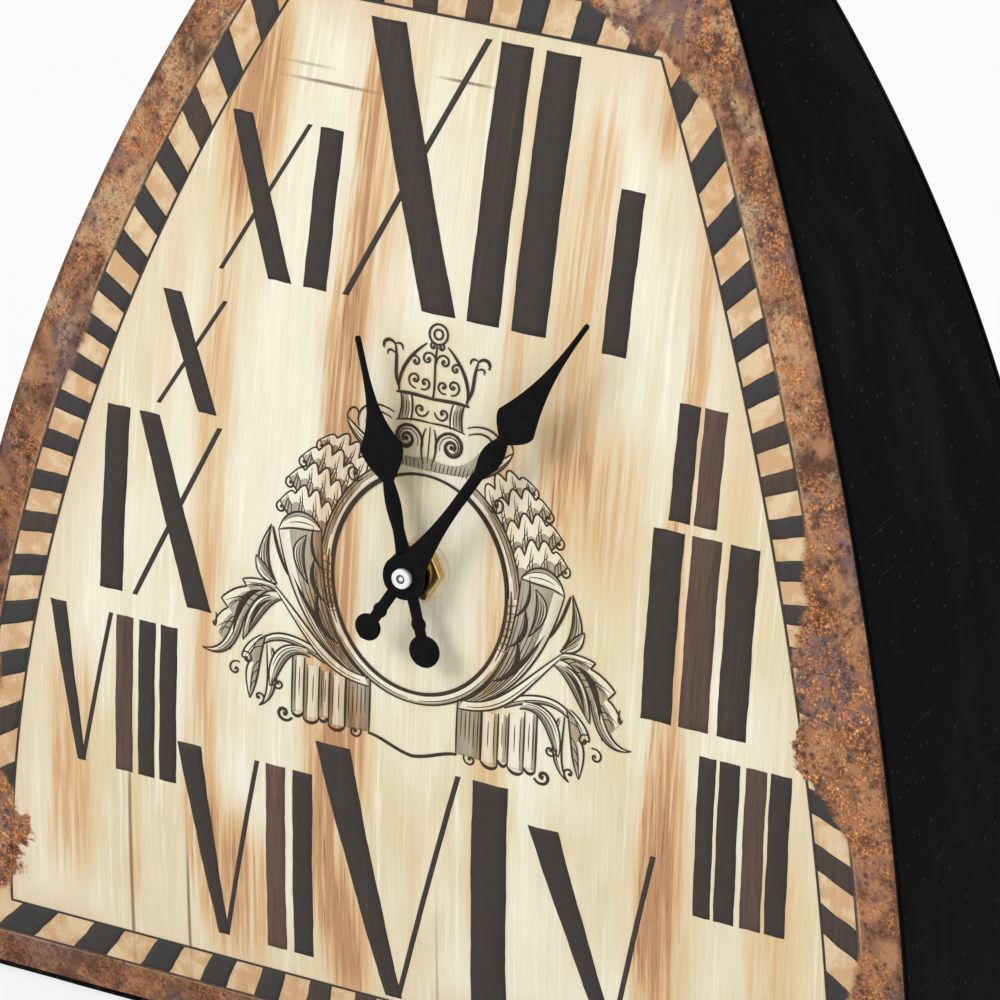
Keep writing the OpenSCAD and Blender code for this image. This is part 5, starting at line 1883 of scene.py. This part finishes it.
@dataclass(frozen=True)
class SpadeHand:
    """A stamped spade hand. Lengths run from the dial's centre; shares are of the whole length."""

    name: str
    node: str
    body: str
    angle: float
    length: float
    tail: float
    spade_w: float
    hub: float
    arm: float
    tip: float
    disc: float
    collar_w: float
    collar_at: float
    neck_at: float
    spade_at: float
    slender: float
    foot_z: float
    hole_r: float
    foot_share: float = 0.6
    foot_reach: float = 2.2
    thickness: float = 0.6
    crown: float = 0.24

    @property
    def bead_at(self) -> float:
        """Middle of the bead on the tail's stem."""
        return -(self.hub + self.tail) / 2 + self.arm

    def width(self, y: Array) -> Array:
        """Width at a distance y along the hand: the widest of its hub, tail disc, bead, stem and blade.

        Round parts are 2*sqrt(r*r - d*d) at a distance d from their middle. The blade is the arm with its
        spreading foot and its collar up to the neck, a quarter sine to the spade's shoulder, and then
        tip + (spade - tip) * (1 - t)^slender to the end, which is half round.

        Args:
            y: Distances, negative on the tail.

        Returns:
            The widths.
        """
        t = np.clip(y / self.length, 0, 1)
        foot = self.foot_share * self.hub * np.clip(1 - y / (self.foot_reach * self.hub), 0, 1) ** 2
        from_collar = np.minimum(1, np.abs(t - self.collar_at) / (self.neck_at - self.collar_at))
        bulge = (self.collar_w - self.arm) * np.cos(np.pi / 2 * from_collar)
        from_neck = np.clip((t - self.neck_at) / (self.spade_at - self.neck_at), 0, 1)
        shoulder = self.arm + (self.spade_w - self.arm) * np.sin(np.pi / 2 * from_neck)
        fade = np.clip((t - self.spade_at) / (1 - self.spade_at), 0, 1)
        taper = self.tip + (self.spade_w - self.tip) * (1 - fade) ** self.slender
        blade = np.where(t < self.spade_at, shoulder, taper)
        blade = np.where(t < self.neck_at, self.arm + foot + bulge, blade)
        blunt = self.tip / 2
        end = np.clip((y - (self.length - blunt)) / blunt, 0, 1)
        blade = np.where(y >= 0, blade * np.sqrt(1 - end**2), 0)
        stem = np.where((y < 0) & (y > -self.tail), self.arm, 0)
        rounds = [self.round_part(y, 0, self.hub), self.round_part(y, -self.tail, self.disc),
                  self.round_part(y, self.bead_at, 1.3 * self.arm)]
        return np.maximum.reduce([blade, stem] + rounds)

    @staticmethod
    def round_part(y: Array, middle: float, diameter: float) -> Array:
        """Width of a disc at y."""
        return 2 * np.sqrt(np.clip(diameter**2 / 4 - (y - middle) ** 2, 0, None))

    def stations(self) -> Array:
        """Places along the hand, closer together where its outline turns.

        Returns:
            Their distances from the dial's centre.
        """
        disc, hub, long = self.disc / 2, self.hub / 2, self.length
        turn = (1 - np.cos(np.linspace(0, np.pi, 25))) / 2
        bead = 0.65 * self.arm
        return np.unique(np.round(np.concatenate([
            -self.tail - disc + 2 * disc * turn, self.bead_at - bead + 2 * bead * turn[::2],
            -hub + 2 * hub * turn, -self.hole_r + 2 * self.hole_r * turn,
            np.linspace(hub, self.neck_at * long, 26),
            np.linspace(self.neck_at * long, self.spade_at * long, 13),
            np.linspace(self.spade_at * long, long - self.tip / 2, 34),
            long - self.tip / 2 + self.tip / 2 * np.sin(np.linspace(0, np.pi / 2, 9))]), 5))

    def build(self, shape: BellShape, finish: Finish) -> None:
        """Builds the hand as a crowned sheet with a hole for its pipe.

        Half of it is a grid: x runs from the hole's edge, or the middle line, to half the width, and the
        face drops by crown * (x / half width)^2. The other half is its mirror.

        Args:
            shape: The body's outline.
            finish: The lacquer.
        """
        y = self.stations()[:, None]
        half = self.width(y) / 2
        hole = np.sqrt(np.clip(self.hole_r**2 - y**2, 0, None))
        share = np.linspace(0, 1, 9)[None, :]
        x = hole + (np.maximum(half, hole) - hole) * share
        near_hub = np.clip((np.abs(y) - self.hub / 2) / 3.0, 0, 1)
        drop = self.crown * (x / np.maximum(half, 1e-6)) ** 2.2 * (0.25 + 0.75 * near_hub)
        z = self.foot_z + self.thickness - drop
        patches = Patchwork()
        for side in (1, -1):
            patches.add(on_dial(shape, side * x, y + 0 * x, z, self.angle), flip=side < 0)
        made = patches.piece(self.name, finish, "black_hands", self.body, weld=0.004, replaces=(self.node,))
        thicken(made, self.thickness - self.crown, 0.06)

    def collet(self, shape: BellShape, finish: Finish) -> None:
        """The short ring under the hub that grips the pipe, with a chamfered foot.

        Args:
            shape: The body's outline.
            finish: The lacquer.
        """
        inner, outer = self.hole_r + 0.02, self.hole_r + 0.75
        foot, top = self.foot_z - 0.58, self.foot_z + self.thickness - self.crown - 0.1
        profile = np.array([(inner, foot), (outer - 0.1, foot), (outer, foot + 0.1), (outer, top),
                            (inner, top), (inner, foot)])
        ring = lathe(profile, 48)
        grid = on_dial(shape, ring[..., 0], ring[..., 1], ring[..., 2], self.angle)
        Patchwork().add(grid, around=True).piece(self.name + "_collet", finish, "black_hands", self.body,
                                                 outward=True)


def on_dial(shape: BellShape, x: Array, y: Array, z: Array, angle: float = 0.0) -> Array:
    """Points in front of the dial's centre, on its tangent plane.

    Args:
        shape: The body's outline.
        x: To the right, before the turn.
        y: Up along the sheet, before the turn.
        z: Out from the sheet.
        angle: Turn clockwise as the reader sees it, in degrees.

    Returns:
        Points in the row frame, in millimetres.
    """
    turn = math.radians(angle)
    right = x * math.cos(turn) + y * math.sin(turn)
    up = -x * math.sin(turn) + y * math.cos(turn)
    lean_sine = (shape.dial_h - shape.belly_h) / shape.face_r
    lean_cosine = math.sqrt(1 - lean_sine**2)
    origin = shape.on_face(np.float64(0), np.float64(shape.dial_h))
    return np.stack([right, origin[1] + up * lean_sine - z * lean_cosine,
                     origin[2] + up * lean_cosine + z * lean_sine], axis=-1)


@dataclass
class Hands:
    """Both spade hands and the round nut that holds them."""

    shape: BellShape
    hour_z: float = 4.3
    minute_z: float = 6.1
    nut_t: float = 1.3
    nut_r: float = 2.1
    pipe_end: float = 1.04
    nut_hole_r: float = 0.98
    bore_r: float = 1.66

    def build(self) -> None:
        """Builds the hands and the nut."""
        lacquer = SatinLacquer("satin_black_lacquer")
        hour = SpadeHand(
            "hour_spade_hand", "hour_hand", "hour", angle=-17.0, length=50.6, tail=16.3, spade_w=10.0,
            hub=10.0, arm=2.6, tip=1.5, disc=7.0, collar_w=3.6, collar_at=0.292, neck_at=0.39, spade_at=0.54,
            slender=4.0, foot_z=self.hour_z, hole_r=2.55, foot_share=0.2, foot_reach=1.3)
        minute = SpadeHand(
            "minute_spade_hand", "minute_hand", "minute", angle=31.4, length=72.4, tail=14.6, spade_w=9.4,
            hub=9.6, arm=2.5, tip=1.15, disc=5.9, collar_w=5.0, collar_at=0.48, neck_at=0.545, spade_at=0.615,
            slender=2.6, foot_z=self.minute_z, hole_r=1.65)
        for hand in (hour, minute):
            hand.build(self.shape, lacquer)
            hand.collet(self.shape, lacquer)
        self.nut()

    def nut(self) -> None:
        """The white nut: a low cap with rounded edges whose hole shows the seconds arbor."""
        foot = self.minute_z + 0.65
        top = foot + self.nut_t
        end = foot + self.pipe_end
        profile = np.concatenate([
            [(self.bore_r, foot)], [(self.nut_r, foot)], arc((self.nut_r - 0.3, top - 0.3), 0.3, 0, 90, 5),
            arc((self.nut_hole_r + 0.12, top - 0.12), 0.12, 90, 180, 4), [(self.nut_hole_r, end + 0.02)],
            [(self.bore_r, end + 0.02)], [(self.bore_r, foot)]])
        ring = lathe(profile, 64)
        grid = on_dial(self.shape, ring[..., 0], ring[..., 1], ring[..., 2])
        Patchwork().add(grid, around=True).piece(
            "white_hand_nut", WhiteLacquer("white_lacquer"), "white_nut", "minute", outward=True,
            replaces=("hand_nut",))


# The movement


@dataclass
class Movement:
    """The quartz movement: its CAD nodes keep their shapes and get their finishes."""

    def build(self) -> None:
        """Dresses every node of the movement."""
        case, knob, acetal, plate, chip, magnet, nylon = (
            MouldedPlastic(*look) for look in (
                ("black_case_plastic", (30, 31, 33), (38, 39, 41), 0.46, 0.05),
                ("grey_knob_plastic", (56, 58, 62), (66, 68, 72), 0.4, 0.04),
                ("white_wheel_plastic", (236, 232, 220), (226, 220, 204), 0.38, 0.02),
                ("pale_plate_plastic", (222, 216, 200), (232, 228, 214), 0.45, 0.03),
                ("chip_resin", (16, 16, 17), (26, 26, 27), 0.5, 0.03),
                ("magnet_ferrite", (92, 92, 94), (70, 70, 73), 0.55, 0.04),
                ("nylon_washer", (228, 218, 190), (214, 204, 176), 0.4, 0.02)))
        brass = TurnedBrass("turned_brass")
        zinc = PlatedSteel("zinc_plate")
        low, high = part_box("coil")
        wire = WoundWire("wound_copper", (high.x - low.x) / MM / 2, (high.x + low.x) / MM / 2)
        low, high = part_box("battery")
        sleeve = CellJacket("cell_sleeve", low.x / MM, high.x / MM)
        for finish, radius, nodes in (
                (case, 0.2, ("case_front", "case_back")), (plate, 0.1, ("mid_plate",)),
                (brass, 0.0, ("threaded_bush", "centre_wheel")), (brass, 0.2, ("bush_nut",)),
                (SoftRubber("black_rubber"), 0.15, ("rubber_gasket",)), (nylon, 0.08, ("bush_washer",)),
                (acetal, 0.0, ("hour_wheel", "minute_wheel", "third_wheel", "seconds_wheel",
                               "intermediate_wheel")),
                (magnet, 0.0, ("minute_pipe", "rotor")), (knob, 0.12, ("setting_knob",)),
                (zinc, 0.0, ("stator",)), (zinc, 0.2, ("quartz_crystal",)),
                (zinc, 0.06, ("battery_contacts",)), (wire, 0.1, ("coil",)), (chip, 0.0, ("timing_chip",)),
                (SolderMask("green_solder_mask"), 0.08, ("circuit_board",)), (sleeve, 0.3, ("battery",))):
            for node in nodes:
                dress(node, finish, radius)


# The studio


@dataclass
class PhotoCamera:
    """The photograph's camera, from a fit of its focal length, angles and picture centre."""

    width: float = 1000.0
    focal_px: float = 6764.0
    elevation: float = 0.402652
    azimuth: float = 0.477219
    roll: float = 0.0259311
    centre_px: Pair = (491.769, 482.610)
    place: Triple = (0.5938, -1.1584, 0.6785)
    sensor: float = 36.0

    def build(self) -> None:
        """Places the camera and makes it the scene's."""
        sa, ca = math.sin(self.elevation), math.cos(self.elevation)
        sb, cb = math.sin(self.azimuth), math.cos(self.azimuth)
        sr, cr = math.sin(self.roll), math.cos(self.roll)
        level, steep = Vector((cb, sb, 0)), Vector((sb * sa, -cb * sa, -ca))
        right, down = level * cr - steep * sr, level * sr + steep * cr
        ahead = Vector((-sb * ca, cb * ca, -sa))
        data = bpy.data.cameras.new("photo_camera")
        data.sensor_width = self.sensor
        data.lens = self.focal_px / self.width * self.sensor
        data.shift_x = (self.width / 2 - self.centre_px[0]) / self.width
        data.shift_y = (self.centre_px[1] - self.width / 2) / self.width
        data.clip_start, data.clip_end = 0.05, 60.0
        made = place("photo_camera", data)
        turn = Matrix((right, -down, -ahead)).transposed()
        made.matrix_world = Matrix.Translation(self.place) @ turn.to_4x4()
        bpy.context.scene.camera = made


@dataclass
class Studio:
    """A pale floor, soft lamps and a white surrounding that only the camera and reflections see."""

    floor_half: float = 6.0
    floor_below: float = 0.00002
    aim: Triple = (0, 0, 0.13)
    ambient: float = 0.52
    glow: float = 0.8

    def build(self) -> None:
        """Builds the floor, the world and the lamps."""
        self.floor()
        self.world()
        self.lamp("key", (-1.5, -1.9, 1.7), 1.3, 43.0)
        self.lamp("fill", (1.9, -1.4, 1.1), 1.6, 12.0)
        self.lamp("rim", (0.6, 1.9, 1.6), 1.4, 14.0)

    def floor(self) -> None:
        """A pale floor that looks nearly white to the camera and keeps soft shadows."""
        g = Graph("pale_floor")
        speckle = g.noise(0.02, 3.0)
        colour = g.mix(speckle, (238, 238, 237), (243, 243, 242))
        matt = g.node("ShaderNodeBsdfDiffuse", {}, {"Color": colour})
        glow = g.node("ShaderNodeEmission", {}, {"Color": (1, 1, 1, 1), "Strength": 1.0})
        g.end(g.node("ShaderNodeMixShader", {}, {0: g.seen() * self.glow, 1: matt.outputs[0],
                                                 2: glow.outputs[0]}))
        reach, below = self.floor_half, -self.floor_below
        mesh = bpy.data.meshes.new("floor")
        corners = [(-reach, -reach, below), (reach, -reach, below), (reach, reach, below),
                   (-reach, reach, below)]
        mesh.from_pydata(corners, [], [(0, 1, 2, 3)])
        mesh.materials.append(g.owner)
        place("floor", mesh)

    def world(self) -> None:
        """White to the camera and in reflections, and a dimmer grey as the light of the room."""
        g = Graph("room", sky=True)
        strength = g.seen() * (1.0 - self.ambient) + self.ambient
        g.end(g.node("ShaderNodeBackground", {}, {"Color": (1, 1, 1, 1), "Strength": strength}))
        bpy.context.scene.world = g.owner

    def lamp(self, name: str, where: Triple, size: float, watts: float) -> None:
        """A square soft lamp that points at the dial.

        Args:
            name: Its name.
            where: Its place, in metres.
            size: Length of its side, in metres.
            watts: Its power.
        """
        data = bpy.data.lights.new(name, "AREA")
        data.energy, data.size = watts, size
        made = place(name, data)
        made.location = where
        made.rotation_euler = (Vector(self.aim) - Vector(where)).to_track_quat("-Z", "Y").to_euler()


def main() -> None:
    """Builds the clock and the studio."""
    logging.basicConfig(level=logging.INFO, format="%(message)s")
    shape = BellShape.from_frame()
    for part in (PrintedFront(shape), SheetBody(shape), CarryingHandle(shape), Hands(shape), Movement(),
                 Studio(), PhotoCamera()):
        log.info("building %s", type(part).__name__)
        part.build()
    bpy.context.scene.view_settings.view_transform = "Standard"
    bpy.context.view_layer.update()


if __name__ == "__main__":
    main()
